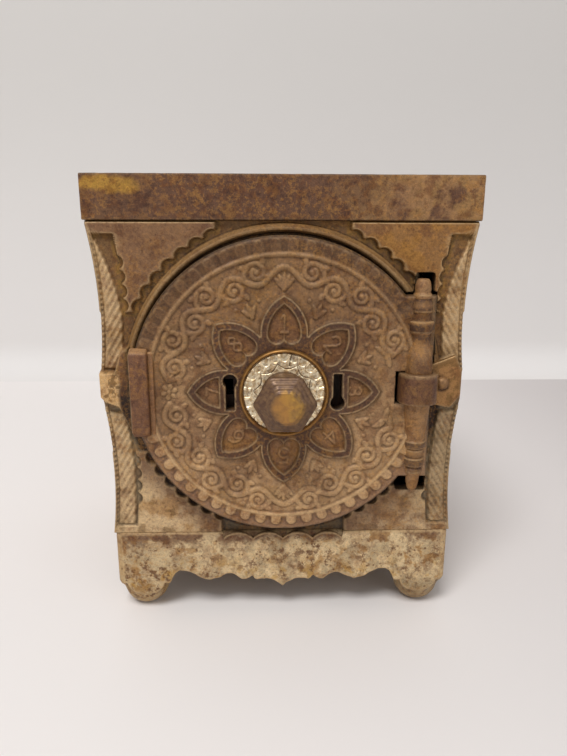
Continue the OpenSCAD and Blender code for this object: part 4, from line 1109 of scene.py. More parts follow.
class COINBANK_OT_front(bpy.types.Operator):
    """Build the front plate with corner plates, pilasters, moulding and lugs"""
    bl_idname = "coinbank.front"
    bl_label = "Front plate"

    def execute(self, context):
        case = settings()[0]
        back = case.field + case.plate_thickness
        x, z = self.grid()
        relief = Relief(x, z)
        px, pz = relief.x, relief.z
        at = SimpleNamespace(x=px, z=pz, up=pz - DOOR_Z, out=np.abs(px),
                             r=np.hypot(px, pz - DOOR_Z), edge=wall_half(pz) - np.abs(px))
        at.below = unit(-at.up / 6 + 0.5)
        at.plate = self.corner_plate(at)
        at.plate_share = relief.plate(at.plate, case.plate_relief, 0.6)
        self.pilasters(relief, at)
        ring = np.interp(at.r, [48.9, 49.3, 49.8, 50.5, 51.6, 52.0], [0, 2.3, 2.8, 2.8, 1.5, 0])
        relief.raise_to(ring * (1 - 0.75 * at.below))
        lug = polygon_distance(px, at.up, LUG)
        at.lug_share = relief.plate(np.maximum(lug, -at.edge), 3.8, 0.8)
        round_pad = (px > 47.2) & (px < 59.2) & (at.up > -7.5) & (at.up < 10.9)
        relief.height = np.where(round_pad, np.minimum(relief.height, PAD_HEIGHT), relief.height)
        pad = polygon_distance(px, at.up, PAD)
        relief.plate(np.maximum(pad, -at.edge), PAD_HEIGHT, 0.4)
        at.height = relief.height.copy()
        relief.height += cast_skin(px, pz, 21, (2.4, 0.05), (0.8, 0.035))
        relief.height -= 0.4 * unit(1 - at.edge / 0.5) ** 2
        depth = (case.field - relief.height).reshape(x.shape)
        piece = new_piece("front_plate", ring_plate(x, depth, z, back), "case",
                          "front_frame")
        paint_points(piece, *self.paint(at))
        cut(piece, [self.notch()], back + 1, -12)
        piece.data.shade_smooth()
        px, _, pz = places(piece)
        in_flutes = stripe(wall_half(pz) - np.abs(px) - 3.9, 3.2, 0.6)
        shaded_and_worn(piece, hollow=0.6, ridge=0.3, fine=0.08, broad=0.3, ease=0.5 * in_flutes)
        dress(piece, "relief_iron_finish")
        return {"FINISHED"}

    def grid(self):
        """Points in rings from the door's opening out to the case's outline."""
        opening, beyond = 44.5, 95.0
        corners = [math.atan2(z - DOOR_Z, side * float(wall_half(z)))
                   for z in (LID_Z, BASE_Z, *belt()) for side in (1, -1)]
        angles = directions(960, corners)
        cosine, sine = np.cos(angles), np.sin(angles)
        low, high = np.full(len(angles), opening), np.full(len(angles), beyond)
        for _ in range(40):
            middle = (low + high) / 2
            z = DOOR_Z + middle * sine
            within = (np.abs(middle * cosine) <= wall_half(z)) & (z <= LID_Z) & (z >= BASE_Z)
            low, high = np.where(within, middle, low), np.where(within, high, middle)
        share = np.concatenate([np.linspace(0, 0.12, 4)[:-1], np.linspace(0.12, 1, 88)])
        rings = opening + share[:, None] * (low - opening)[None]
        return rings * cosine, DOOR_Z + rings * sine

    def corner_plate(self, at):
        """Distance to the corner plates, scalloped round the door and along the pilasters."""
        scallop = TURN / 61
        turn = folded(np.arctan2(at.up, at.out), scallop, -scallop / 2)
        bites = 2.7 - 0.5 * at.below - np.hypot(at.r * np.cos(turn) - 52.1 + 1.6 * at.below,
                                                at.r * np.sin(turn))
        strip = np.maximum.reduce([0.7 - at.edge, at.edge - 7.8, at.z - LID_Z + 4,
                                   BASE_Z + 2.6 - at.z])
        plate = np.maximum.reduce([21.2 - at.out, 24.2 - 1.4 * at.below - np.abs(at.up),
                                   53.4 - 2.6 * at.below - at.r, bites, at.z - LID_Z + 0.4,
                                   -strip])
        for i in range(4):
            for side in (1, -1):
                bite_z = DOOR_Z + side * (39.8 - i * 4.5)
                bite_x = float(wall_half(bite_z)) - 6.9
                plate = np.maximum(plate, 2.3 - np.hypot(at.out - bite_x, at.z - bite_z))
        return plate

    def pilasters(self, relief, at):
        """Twisted flutes along both edges, with a row of beads outside them."""
        belt_low, belt_high = belt()
        upper = np.maximum(belt_high + 1 - at.z, at.z - LID_Z + 6.2)
        lower = np.maximum(BASE_Z + 3 - at.z, at.z - belt_low + 4)
        at.run = np.minimum(upper, lower)
        slope = math.radians(122)
        taper = unit((at.z - (LID_Z - 30)) / 23) ** 1.5 * 4.9
        slant = (at.out - 59.6) * math.sin(slope) - (at.z - BASE_Z) * math.cos(slope)
        at.wave = 0.5 - 0.5 * np.cos(TURN * slant / (3.4 * abs(math.cos(slope))))
        at.rib = inside(np.maximum.reduce([1.25 - at.edge, at.edge - 6.7 + taper - 0.2 * at.wave,
                                           at.run]), 0.9)
        crown = np.sqrt(np.clip(1 - ((at.edge - 4.2) / 3.4) ** 2, 0.1, 1))
        relief.raise_to(at.rib * (0.25 + crown * (0.62 + 0.36 * at.wave)))
        at.bead = 0.5 + 0.5 * np.cos(TURN * at.z / 1.7)
        at.outer = inside(np.maximum(at.edge - 1.2, 0.1 - at.edge), 0.4)
        relief.raise_to((0.75 + 0.4 * at.bead) * at.outer * (at.run < 2))

    def paint(self, at):
        """Golden and cream plates over brown, painted shade in the grooves, gaps and low field,
        and worn edges.
        """
        tones = settings()[2]
        x, z, r = at.x, at.z, at.r
        above = unit(at.up / 20 + 0.5)
        gilt = patches(x, z, 81, 8.0, 0.0, 0.6)
        purple = patches(x, z, 82, 12.0, 0.1, 0.7)
        ground = layered(0.72 * tones.olive, (0.7 * tones.bronze + 0.35 * tones.tan, above))
        upper_plates = layered((tones.iron + tones.tan) / 2,
                               (tones.gold, unit((x - 2) / 25) * (0.55 + 0.45 * gilt)))
        lower_plates = layered(0.45 * tones.tan + 0.85 * tones.olive, (tones.gold, 0.6 * gilt),
                               (0.8 * tones.bronze, 0.6 * patches(x, z, 86, 3.5, 0.25, 0.6)))
        plates = layered(lower_plates, (upper_plates, above))
        strips = layered(0.55 * tones.tan + 0.8 * tones.olive,
                         (tones.bronze, 0.5 * patches(x, z, 84, 5.0, 0.1, 0.6)))
        strips = strips * (1 - 0.3 * unit(x / 20) * (1 - above))[:, None]
        lug = layered(0.85 * tones.gold + 0.75 * tones.olive,
                      (0.8 * tones.bronze, 0.8 * patches(x, z, 83, 1.3, 0.2, 0.5)))
        near_door = unit(1 - (r - 52.5) / np.where(at.up > 0, 5.0, 8.0))
        tips = sum(unit(1 - np.hypot(at.out - tip_x, np.abs(at.up) - rise) / 9)
                   for tip_x, rise in ((23, 50.5), (48, 26)))
        border = stripe(at.plate - 0.75, 0.7, 0.6) * above * (r > 51.4)
        off_plate = 1 - at.plate_share
        # Painted shade in the gap round the door, under the lower bites and low in the middle
        # above the base.
        gap_shade = np.maximum.reduce([
            unit(1 - (r - 48.2) / 1.4), unit((54 - r) / 1.5) * at.below * off_plate,
            0.65 * unit((24 - at.out) / 2) * (at.up < -46) * off_plate])
        on_lug = at.lug_share * (x < 0)
        pits = at.outer * (1 - at.bead) * (at.run < 0) * 0.6 * patches(x, z, 85, 7.0, -0.4, 0.3)
        tint = layered(
            ground,
            (plates, at.plate_share),
            (tones.iron, 0.6 * at.plate_share * unit(near_door * (1.2 - above))),
            (tones.iron, 0.7 * at.plate_share * unit(tips)),
            (tones.iron, 0.4 * purple * at.plate_share),
            (0.5 * tones.mustard + 0.45 * tones.bronze, 0.8 * border),
            (strips, at.rib * 0.9),
            (0.8 * strips, 0.8 * at.outer),
            (lug, at.lug_share),
            (1.1 * tones.iron, on_lug * unit((x + 53.2) / 0.9)),
            # Painted shade along the lug's edge beside the door.
            (0.3 * tones.dark, on_lug * unit((x + 50.6) / 0.3)),
            (tones.bronze, unit(1 - np.abs(r - 51.2) / 1.8) * 0.7 * above),
            # Painted shade in the gaps, then on the lowest parts of the field.
            (tones.dark, gap_shade),
            (tones.dark, 0.3 * np.clip(0.35 - at.height, 0, 0.35) / 0.35),
            (tones.dark, pits))
        wear_and_highlight = np.clip((0.3 + 0.4 * above) * stripe(at.plate + 0.3, 0.16, 0.35)
                       + 0.15 * stripe(r - 50.3, 0.25, 0.5) * above
                       + 0.1 * at.rib * at.wave ** 3, 0, 0.9)
        return tint, wear_and_highlight

    def notch(self):
        """The cut-out that the baluster stands in."""
        left, right, neck_left, neck_right = 38.4, 49.2, 41.8, 48.1
        foot, neck, top = DOOR_Z - 37.2, DOOR_Z + 30.84, DOOR_Z + 36.9
        return softened([(left, foot), (right, foot), (right, neck), (neck_right, neck),
                         (neck_right, top), (neck_left, top), (neck_left, neck),
                         (left, neck)], 1.2, 5)


class COINBANK_OT_walls(bpy.types.Operator):
    """Build the side walls and the back plate with their scalloped borders"""
    bl_idname = "coinbank.walls"
    bl_label = "Side walls and back"

    def execute(self, context):
        case = settings()[0]
        front, rear, rear_face = 5.0, 101.0, 104.2
        z = np.unique(np.concatenate([np.linspace(BASE_Z, LID_Z, 216), belt()]))
        yy, zz = np.meshgrid(np.linspace(front, rear, 200), z, indexing="ij")
        half = wall_half(zz)
        for name, side in (("left", -1), ("right", 1)):
            self.panel(name + "_wall", name + "_side", yy, zz, yy - (front + rear) / 2,
                       rear - front, 31, 83 + side, case.side_wall,
                       lambda height: placed(side * (half + height), yy, zz), side < 0)
        ss, zz = np.meshgrid(np.linspace(-1, 1, 236), z, indexing="ij")
        xx = ss * wall_half(zz)
        width = 2 * float(wall_half(DOOR_Z - 25)) - 2
        self.panel("rear_plate", "back_plate", xx, zz, xx, width, 41, 86, case.plate_thickness,
                   lambda height: placed(xx, rear_face + height, zz), False)
        return {"FINISHED"}

    def panel(self, name, node, run, zz, along, width, seed, gilt_seed, thickness, at_height,
              flip):
        """One panel; at_height gives its points at a height above its plain outer face."""
        tones = settings()[2]
        distance = self.border(along, zz - DOOR_Z, width, LID_Z - BASE_Z)
        raised = inside(distance, 0.7)
        height = raised + cast_skin(run, zz, seed, (2.6, 0.05), (0.8, 0.03))
        shell = panel_shell(at_height(height), at_height(-thickness), *zz.shape, flip)
        piece = new_piece(name, shell, "case", node)
        gilt = patches(run, zz, gilt_seed, 16.0, 0.0, 0.7).ravel()
        paint_points(piece, layered(0.9 * tones.tan, (tones.iron, raised.ravel() * 0.8),
                                    (tones.gold, 0.5 * gilt)),
                     0.55 * stripe(distance + 0.4, 0.2, 0.4).ravel())
        shaded_and_worn(piece)
        dress(piece, "relief_iron_finish")

    def border(self, along, up, width, tall):
        """The raised border with scallops, as a distance."""
        margin, edge, count = 3, 11.0, 7
        x_out, z_out = np.abs(along) - width / 2, np.abs(up) - tall / 2
        shape = np.maximum(np.maximum(x_out, z_out) + margin, -(np.maximum(x_out, z_out) + edge))
        pitch, rise = (width - 2 * edge) / count, (tall - 2 * edge) / count
        for i in range(count):
            a, b = (i + 0.5) * pitch - width / 2 + edge, (i + 0.5) * rise - tall / 2 + edge
            for side in (1, -1):
                shape = np.maximum.reduce([
                    shape,
                    pitch * 0.42 - np.hypot(along - a, up - side * (tall / 2 - edge)),
                    rise * 0.42 - np.hypot(along - side * (width / 2 - edge), up - b)])
        return shape


def cast_copy(node, name, step):
    """A casting with soft edges, made from a CAD node's shape; the step is in millimetres."""
    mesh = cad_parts[node].data.copy()
    mesh.name = name
    outward(mesh, 1e-6)
    piece = carried(bpy.data.objects.new(name, mesh), "case", node)
    remesh = piece.modifiers.new("Remesh", "REMESH")
    remesh.mode, remesh.voxel_size = "VOXEL", step * MM
    smooth = piece.modifiers.new("Smooth", "SMOOTH")
    smooth.factor, smooth.iterations = 0.5, 4
    for modifier in ("Remesh", "Smooth"):
        apply_modifier(piece, modifier)
    piece.data.materials.clear()
    piece.data.shade_smooth()
    return piece


def graded(long, edge, step):
    """Places along a length, closer together near both ends."""
    near = [share * edge for share in (0.0, 0.12, 0.28, 0.5, 0.8, 1.2, 1.9)]
    inner = np.linspace(near[-1], long - near[-1], max(2, round((long - 2 * near[-1]) / step) + 1))
    return np.concatenate([near[:-1], inner, [long - n for n in near[:-1][::-1]]])


def rounded_box(low, high, edge, step, seed, unevenness):
    """A box shell with rounded edges and an uneven skin, its sides not yet joined."""
    low, high = np.asarray(low, float), np.asarray(high, float)
    cuts = [graded(high[a] - low[a], edge, step) + low[a] for a in range(3)]
    points, faces, start = [], [], 0
    for axis in range(3):
        u, v = [a for a in range(3) if a != axis]
        uu, vv = np.meshgrid(cuts[u], cuts[v], indexing="ij")
        for end in (low[axis], high[axis]):
            face = np.zeros(uu.shape + (3,))
            face[..., u], face[..., v], face[..., axis] = uu, vv, end
            points.append(face.reshape(-1, 3))
            faces += grid_faces(*uu.shape, False, start=start)
            start += uu.size
    points = np.vstack(points)
    x, y, z = points.T
    core = np.clip(points, low + edge, high - edge)
    away = points - core
    normal = away / np.linalg.norm(away, axis=1, keepdims=True)
    skin = rough_surface(x + y * 0.7, z + y, seed, 2.6, unevenness) \
        + rough_surface(x - y, z * 1.1, seed + 1, 0.9, unevenness * 0.5)
    points = core + normal * (edge + np.minimum(skin, 0)[:, None] - unevenness * 0.3)
    return placed(*points.T), faces


# The apron's lower edge from its middle outward: share of its half width, and rise
APRON = np.array([(0, -1.8), (0.04, -0.3), (0.105, 1.1), (0.15, 1.4), (0.19, 1.2),
                  (0.235, 1), (0.255, 1.6), (0.273, 2.9), (0.291, 1.8), (0.325, 1.2),
                  (0.365, 1.1), (0.408, 2.4), (0.435, 3.2), (0.465, 3.6), (0.5, 3.3),
                  (0.56, 2.1), (0.605, 1.4), (0.65, 1.1), (0.7, 1.4), (0.745, 2.2),
                  (0.785, 3.3), (0.83, 4.3), (0.875, 4.8), (0.92, 4.8), (0.955, 3.9),
                  (0.98, 2.2), (1, 0)])


class COINBANK_OT_castings(bpy.types.Operator):
    """Build the lid, the footed base, the hinge strap and its rivet"""
    bl_idname = "coinbank.castings"
    bl_label = "Lid, base and strap"

    def execute(self, context):
        step = settings()[0].surface_step * 1.0
        self.lid(step * 1.1)
        self.rivet()
        self.base(step)
        self.apron()
        self.strap(step * 0.4)
        return {"FINISHED"}

    def lid(self, step):
        """The lid with its slot, hollow underneath, and the bosses of the tie rods."""
        half, deep = LID_HIGH[0], LID_HIGH[1] - LID_LOW[1]
        wall, inset = 3.0, 4.8
        shell = rounded_box((-half, 0, LID_Z), (half, deep, LID_HIGH[2]), 0.5, step, 51, 0.06)
        piece = new_piece("lid", shell, "case", "top_plate")
        outward(piece.data, 2e-6)
        slot_x, slot_y, slot_r = 18.3, 53, 1.7
        slot = [(slot_x * side + slot_r * math.cos(a), slot_y + slot_r * math.sin(a))
                for side in (1, -1)
                for a in np.linspace(-side * QUARTER, -side * QUARTER + math.pi, 13)]
        hollow = [(-half + wall, inset), (half - wall, inset), (half - wall, deep - inset),
                  (-half + wall, deep - inset)]
        cut(piece, [hollow], LID_Z - 2, LID_HIGH[2] - wall, upright=True)
        cut(piece, [slot], LID_Z, LID_HIGH[2] + 2, upright=True)
        piece.data.shade_smooth()
        self.lid_paint(piece)
        foot, roof, bore = LID_Z + 0.02, LID_HIGH[2] - wall + 0.1, 2.15
        boss = [(bore, foot), (4.1, foot), (4.4, LID_Z + 0.4), (4.4, LID_HIGH[2] - wall - 0.8),
                (5.4, roof), (bore, roof)]
        bosses = new_piece("lid_bosses",
                           join_shells(*(lathe(boss, (x, y), "Z", 36)
                                         for x in (-47.5, 47.5) for y in (22.4, 83.6))),
                           "case", "top_plate")
        paint_points(bosses, settings()[2].iron)
        for part in (piece, bosses):
            part.data.set_sharp_from_angle(angle=math.radians(50))
            dress(part, "lid_iron_finish")

    def lid_paint(self, piece):
        """Purplish brown with gilding to the right and a mustard patch top left, and painted shade
        along the lower edge.
        """
        tones = settings()[2]
        x, depth, z = places(piece)
        run = x + 0.6 * depth
        from_top = LID_HIGH[2] - z
        gilt = patches(run, z + 0.5 * depth, 101, 6.0, -0.3, 0.25)
        right = unit((x - 8) / 45) + 0.12 * unit((-20 - x) / 30)
        stain = patches(run, z + 0.7 * depth, 102, 8.0, 0.0, 0.6)
        light = patches(run, z + 0.5 * depth, 104, 2.6, -0.1, 0.35)
        fringe = rough_surface(x, z, 103, 2.0, 2.4)
        yellow = unit(1 - np.hypot((x + 52.5) / 9.5, (3.2 - from_top) / 3.2) + fringe * 0.11)
        paint_points(piece, layered(
            0.85 * tones.iron,
            (0.7 * tones.gold + 0.17 * tones.olive, unit(gilt * right * 1.3) * 0.85),
            (1.04 * tones.tan, 0.75 * light * unit((x - 20) / 20)),
            (0.7 * tones.iron, 0.35 * stain * (1 - right)),
            (tones.mustard, 0.85 * unit(yellow * 3.5) * (depth < 6)),
            # Painted shade along the lid's lower edge, over the seam.
            (tones.dark, 0.8 * unit(1 - (z - LID_Z) / 0.5)),
            (tones.dark, 0.55 * unit(1 - from_top / 0.45) * (depth < 0.6))))
        shaded_and_worn(piece, hollow=0.5, ridge=0.35)

    def rivet(self):
        """The domed rivet that holds the strap, clenched behind the plate."""
        head, shank, front, back = 2.2, 1.5, -2.0, 5.0
        dome = [(head * math.cos(t) ** 0.8, front - 1.9 * math.sin(t))
                for t in np.linspace(0, QUARTER - 0.02, 12)]
        profile = [(0.3, back + 0.8), (1.9, back + 0.8), (2.25, back + 0.5), (2.25, back),
                   (shank, back), (shank, front), (head - 0.1, front)] + dome
        piece = new_piece("strap_rivet_head",
                          lathe(profile, (RIVET_X, DOOR_Z + RIVET_RISE), "Y", 40), "case",
                          "strap_rivet")
        piece.data.set_sharp_from_angle(angle=math.radians(60))
        paint_points(piece, 0.85 * settings()[2].tan)
        dress(piece, "strap_iron_finish")

    def strap(self, step):
        """The hinge strap, its plate worn golden, with a painted shadow round the rivet's lower
        left and a painted highlight along the eye's top.
        """
        tones = settings()[2]
        piece = cast_copy("hinge_strap", "strap", step)
        x, _, z = places(piece)
        plate = unit((x - 47.6) / 1.0)
        off_x, off_z = x - RIVET_X, z - DOOR_Z - RIVET_RISE
        # Painted shadow that the rivet casts to its lower left.
        shade = unit((3.3 - np.hypot(off_x, off_z)) / 0.8) * unit(0.9 - (off_x + off_z) / 4)
        spots = patches(x, z, 121, 2.6, 0.0, 0.35) * plate
        paint_points(piece, layered(tones.iron, (0.65 * tones.tan + 0.45 * tones.gold, plate),
                                    (0.8 * tones.bronze, 0.7 * spots),
                                    (tones.dark, plate * shade)),
                     # Pale top of the eye: a painted highlight.
                     0.3 * unit((z - DOOR_Z - 4.6) / 0.8) * (1 - plate))
        shaded_and_worn(piece, ridge=0.35, fine=0.08, broad=0.25)
        dress(piece, "strap_iron_finish")

    def cream_paint(self, x, depth, z):
        """The base's cream patina: golden spots, and purple brown along the seam; painted shade
        low down, below the apron's edge and more to the right.
        """
        tones = settings()[2]
        run, up = x + depth * 1.3, z + depth * 0.9
        cream = patches(run, up, 98, 4.0, -0.6, 0.2) * unit(1.3 - np.abs(x - 10) / 60)
        gilt = patches(run, up, 91, 4.0, 0.35, 0.6) * unit(0.35 + np.abs(x + 6) / 60 + (x < -38))
        ochre = patches(run, up, 92, 3.2, 0.3, 0.6) * unit(1.2 - (z - 12) / 9)
        seam = unit((z - BASE_Z + 5.5) / 4 + patches(run, up, 93, 5.0, -0.4, 0.6) - 0.75
                    - 0.25 * unit(x / 30))
        stain = patches(run, up, 94, 3.4, 0.75, 0.95)
        # Painted shade below the apron's edge, stronger towards the right.
        low = unit((10 + 2.5 * (x > 0) - z) / 3) * np.clip(0.65 + x / 120, 0.3, 1)
        return layered(
            0.95 * tones.olive,
            (1.4 * tones.olive, cream),
            (tones.gold, 0.75 * gilt),
            (tones.mustard, 0.6 * ochre),
            (0.8 * tones.tan, 0.75 * stain),
            (tones.iron, 0.9 * seam),
            (tones.dark, 0.6 * unit(1 - (BASE_Z - z) / 0.5)),
            (0.45 * tones.olive, 0.65 * low))

    def base(self, step):
        """The footed base."""
        piece = cast_copy("base", "footed_base", step)
        paint_points(piece, self.cream_paint(*places(piece)))
        shaded_and_worn(piece, hollow=0.6, fine=0.12, broad=0.3)
        dress(piece, "base_iron_finish")

    def apron(self):
        """The base's front skin: crest arches above and the scalloped edge below."""
        half_width, foot, scalloped, drop, arc, rear = 56.6, 10.8, 39.76, 2.2, 10.4, 1.4
        x = np.linspace(-half_width, half_width, 340)
        out = np.abs(x)
        lower = foot + np.where(out < scalloped, np.interp(out / scalloped, *APRON.T), 0)
        tab = unit(1 - ((out - 48.5) / 6.56) ** 2)
        lower = np.minimum(lower, np.where(tab > 0, foot + 0.4 - 4.91 * np.sqrt(tab), 99))
        arc_r = (arc * arc / 4 + drop * drop) / (2 * drop)
        rise = np.sqrt(arc_r ** 2 - (out % arc - arc / 2) ** 2) - arc_r + drop
        upper = BASE_Z - 0.05 - np.where(out < 2 * arc, drop - rise, 0)
        lower += rough_surface(x, 0 * x, 95, 1.1, 0.18)
        share = np.linspace(0, 1, 64)
        xx = np.repeat(x[:, None], len(share), 1)
        zz = lower[:, None] + share * (upper - lower)[:, None]
        from_top, from_edge, out = upper[:, None] - zz, zz - lower[:, None], out[:, None]
        crest = np.exp(-(from_top / 0.55) ** 2) * (out < 2 * arc + 0.6)
        skin = 0.28 * unit((half_width - np.abs(xx)) / 2.2) + 0.35 * crest \
            + cast_skin(xx, zz, 96, (2.4, 0.06), (0.8, 0.04))
        skin -= 0.5 * unit(1 - from_edge / 0.7) ** 2
        skin -= 0.35 * unit(1 - from_top / 0.35) ** 2
        skin = np.where(np.abs(xx) > half_width - 0.1, -0.6, skin)
        rows, columns = xx.shape
        index = np.arange(xx.size).reshape(rows, columns)
        border = np.concatenate([index[:, 0], index[-1, 1:], index[-2::-1, -1],
                                 index[0, -2:0:-1]]).tolist()
        count, n = xx.size, len(border)
        faces = grid_faces(rows, columns, False, flip=True)
        faces += [[border[k], border[(k + 1) % n], count + (k + 1) % n, count + k]
                  for k in range(n)]
        faces.append([count + k for k in range(n)])
        points = np.vstack([placed(xx, -skin, zz),
                            placed(xx.ravel()[border], rear, zz.ravel()[border])])
        piece = new_piece("base_apron", (points, faces), "case", "base")
        x, _, z = places(piece)
        arches = np.pad((unit(1 - from_top / 3.5) * (out < 2 * arc)).ravel(), (0, n))
        pale_edges = 0.6 * np.exp(-((from_top - 0.5) / 0.4) ** 2) * (out < 2 * arc)
        paint_points(piece, layered(self.cream_paint(x, 0 * x, z),
                                    (settings()[2].iron, 0.8 * arches)), pale_edges.ravel())
        shaded_and_worn(piece, hollow=0.6)
        dress(piece, "base_iron_finish")


# Dial

class COINBANK_OT_dial(bpy.types.Operator):
    """Build the dial plate, its bezel and the stepped knob"""
    bl_idname = "coinbank.dial"
    bl_label = "Dial and knob"

    def execute(self, context):
        plate_r = (DIAL_HIGH[0] - DIAL_LOW[0]) / 2 + 0.4
        face = DIAL_LOW[1] - FRONT
        bore, rear = 2.5, face + 1.0
        self.plate(plate_r, bore, face + 0.3, rear)

        edge = (BEZEL_HIGH[0] - BEZEL_LOW[0]) / 2 + 0.4
        back, top = BEZEL_HIGH[1] - FRONT, BEZEL_LOW[1] - FRONT
        profile = [(bore, back), (edge - 0.3, back), (edge, back - 0.3), (edge, back - 0.7),
                   (edge - 0.12, back - 1.1), (edge - 0.4, top + 0.15), (edge - 0.65, top),
                   (edge - 0.95, top + 0.06), (plate_r + 0.1, top + 0.35),
                   (plate_r + 0.1, rear), (bore, rear)]
        piece = new_piece("bezel", lathe(profile, (0, DOOR_Z), "Y", 160), "dial",
                          "dial_bezel")
        dress(piece, "bezel_brass_finish")
        self.knob()
        return {"FINISHED"}

    def plate(self, plate_r, bore, face, rear):
        """The nickelled plate, engraved with lunettes, swags and the index line."""
        rings = rings_of((bore, 6.0, 1.2), (6.0, plate_r, 0.14))
        rr, aa = np.meshgrid(rings, circle(540), indexing="ij")
        x, z = rr * np.cos(aa), rr * np.sin(aa)
        pitch = TURN / 24
        across = np.abs(rr * np.sin(folded(aa, pitch, -pitch / 2)))
        lunette = np.where(rr > plate_r - 1.5, across, np.hypot(rr - plate_r + 1.5, across))
        hollow = inside(lunette - 1.12, 0.3)
        swing = TURN / 10
        sag = np.abs(folded(aa, swing, -0.1) / (swing / 2)) ** 2
        swag = stripe(rr - 9.7 + 1.75 * (1 - sag), 0.14, 0.22)
        turned = aa - (QUARTER - math.radians(10))
        line = inside(np.maximum.reduce([np.abs(rr * np.sin(turned)) - 0.16, 8.9 - rr,
                                         np.cos(turned) * -9]), 0.2)
        depth = 0.25 * hollow + 0.25 * swag - 0.12 * stripe(lunette - 1.3, 0.1, 0.2) \
            + 0.3 * line + 0.5 * unit(1 - (plate_r - rr) / 0.5) ** 2 \
            + rough_surface(x, z, 61, 0.8, 0.05)
        piece = new_piece("dial_face", ring_plate(x, face + depth, DOOR_Z + z, rear), "dial",
                          "dial_plate")
        grime = np.maximum(unit(0.32 * hollow + swag), line)
        paint_points(piece, settings()[2].dark, 0.85 * grime.ravel())
        dress(piece, "nickel_finish")

    def knob(self):
        """A neck that flares to a six-sided head, turned down in steps to a small face."""
        tones = settings()[2]
        tip, foot = KNOB_LOW[1] - FRONT, KNOB_HIGH[1] - FRONT
        corner = (KNOB_HIGH[0] - KNOB_LOW[0]) / 2 - 0.6
        # Radius, depth, and how far from round to six-sided
        sections = [(7.2, foot, 0.0), (6.7, foot - 1.2, 0.0), (6.3, foot - 2.6, 0.0),
                    (6.4, foot - 5.0, 0.0), (7.0, tip + 6.3, 0.1)]
        sections += [(corner - inset, tip + rise, square) for inset, rise, square in (
            (1.2, 5.0, 0.6), (0.2, 4.3, 1.0), (0.0, 3.8, 1.0), (0.15, 3.2, 1.0),
            (0.9, 2.75, 1.0), (1.3, 2.7, 1.0), (1.5, 2.2, 1.0), (2.3, 1.8, 1.0),
            (2.7, 1.75, 1.0), (2.9, 1.25, 1.0), (3.6, 0.95, 0.95), (4.0, 0.9, 0.95),
            (4.3, 0.4, 0.9), (4.7, 0.12, 0.85))]
        sections += [(r, tip + 0.05, 0.5) for r in np.arange(corner - 5.2, 0.9, -0.5)]
        sections.append((0.4, tip + 0.05, 0.0))
        angles = circle(120)
        flat = math.cos(math.pi / 6) / np.cos(folded(angles, math.pi / 3))
        points, tint, wear_and_highlight = [], [], []
        for radius, depth, square in sections:
            rounded = np.minimum(flat, 0.965 if depth > tip + 2 else 0.93)
            r = radius * (square * rounded + (1 - square) * (1 if radius < 8 else 0.95))
            u, v = r * np.cos(angles), r * np.sin(angles)
            points.append(placed(u, depth, DOOR_Z + v))
            fringe = patches(u, v, 111, 2.6, -0.5, 0.6)
            golden = unit((6.3 - r - 1.6 * fringe) / 1.6) * (depth < foot - 6)
            wear_and_highlight.append(golden * (0.7 + 0.3 * patches(u, v, 112, 1.6, -0.4, 0.2)))
            # Painted highlight: the gilding turns lighter mustard towards the upper right.
            bright = unit((u + 0.6 * v + 2) / 7 + 0.5 * patches(u, v, 113, 1.8, -0.5, 0.5) - 0.2)
            tint.append(layered(tones.gold, (tones.mustard, bright)) * 1.15)
        shell = np.vstack(points), tube_faces(len(sections), len(angles), flip=True)
        piece = new_piece("dial_knob", shell, "dial", "knob")
        paint_points(piece, np.vstack(tint), np.concatenate(wear_and_highlight))
        dress(piece, "knob_finish")


class COINBANK_OT_plain_parts(bpy.types.Operator):
    """Give the lock, the tie rods and the small parts their finishes"""
    bl_idname = "coinbank.plain_parts"
    bl_label = "Lock and small parts"

    def execute(self, context):
        wanted = {
            "steel_finish": ("tie_rods", "tie_washers", "tie_nuts", "knob_pin", "dial_spindle",
                             "spring_washer", "spacer_washers", "bridge_screws",
                             "spindle_nut", "strike_screws"),
            "disc_brass_finish": ("drive_cam", "front_tumbler", "rear_tumbler"),
            "lock_iron_finish": ("bridge_plate", "strike"),
        }
        for finish, nodes in wanted.items():
            for node in nodes:
                dress(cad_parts[node], finish)
        return {"FINISHED"}


# Stage

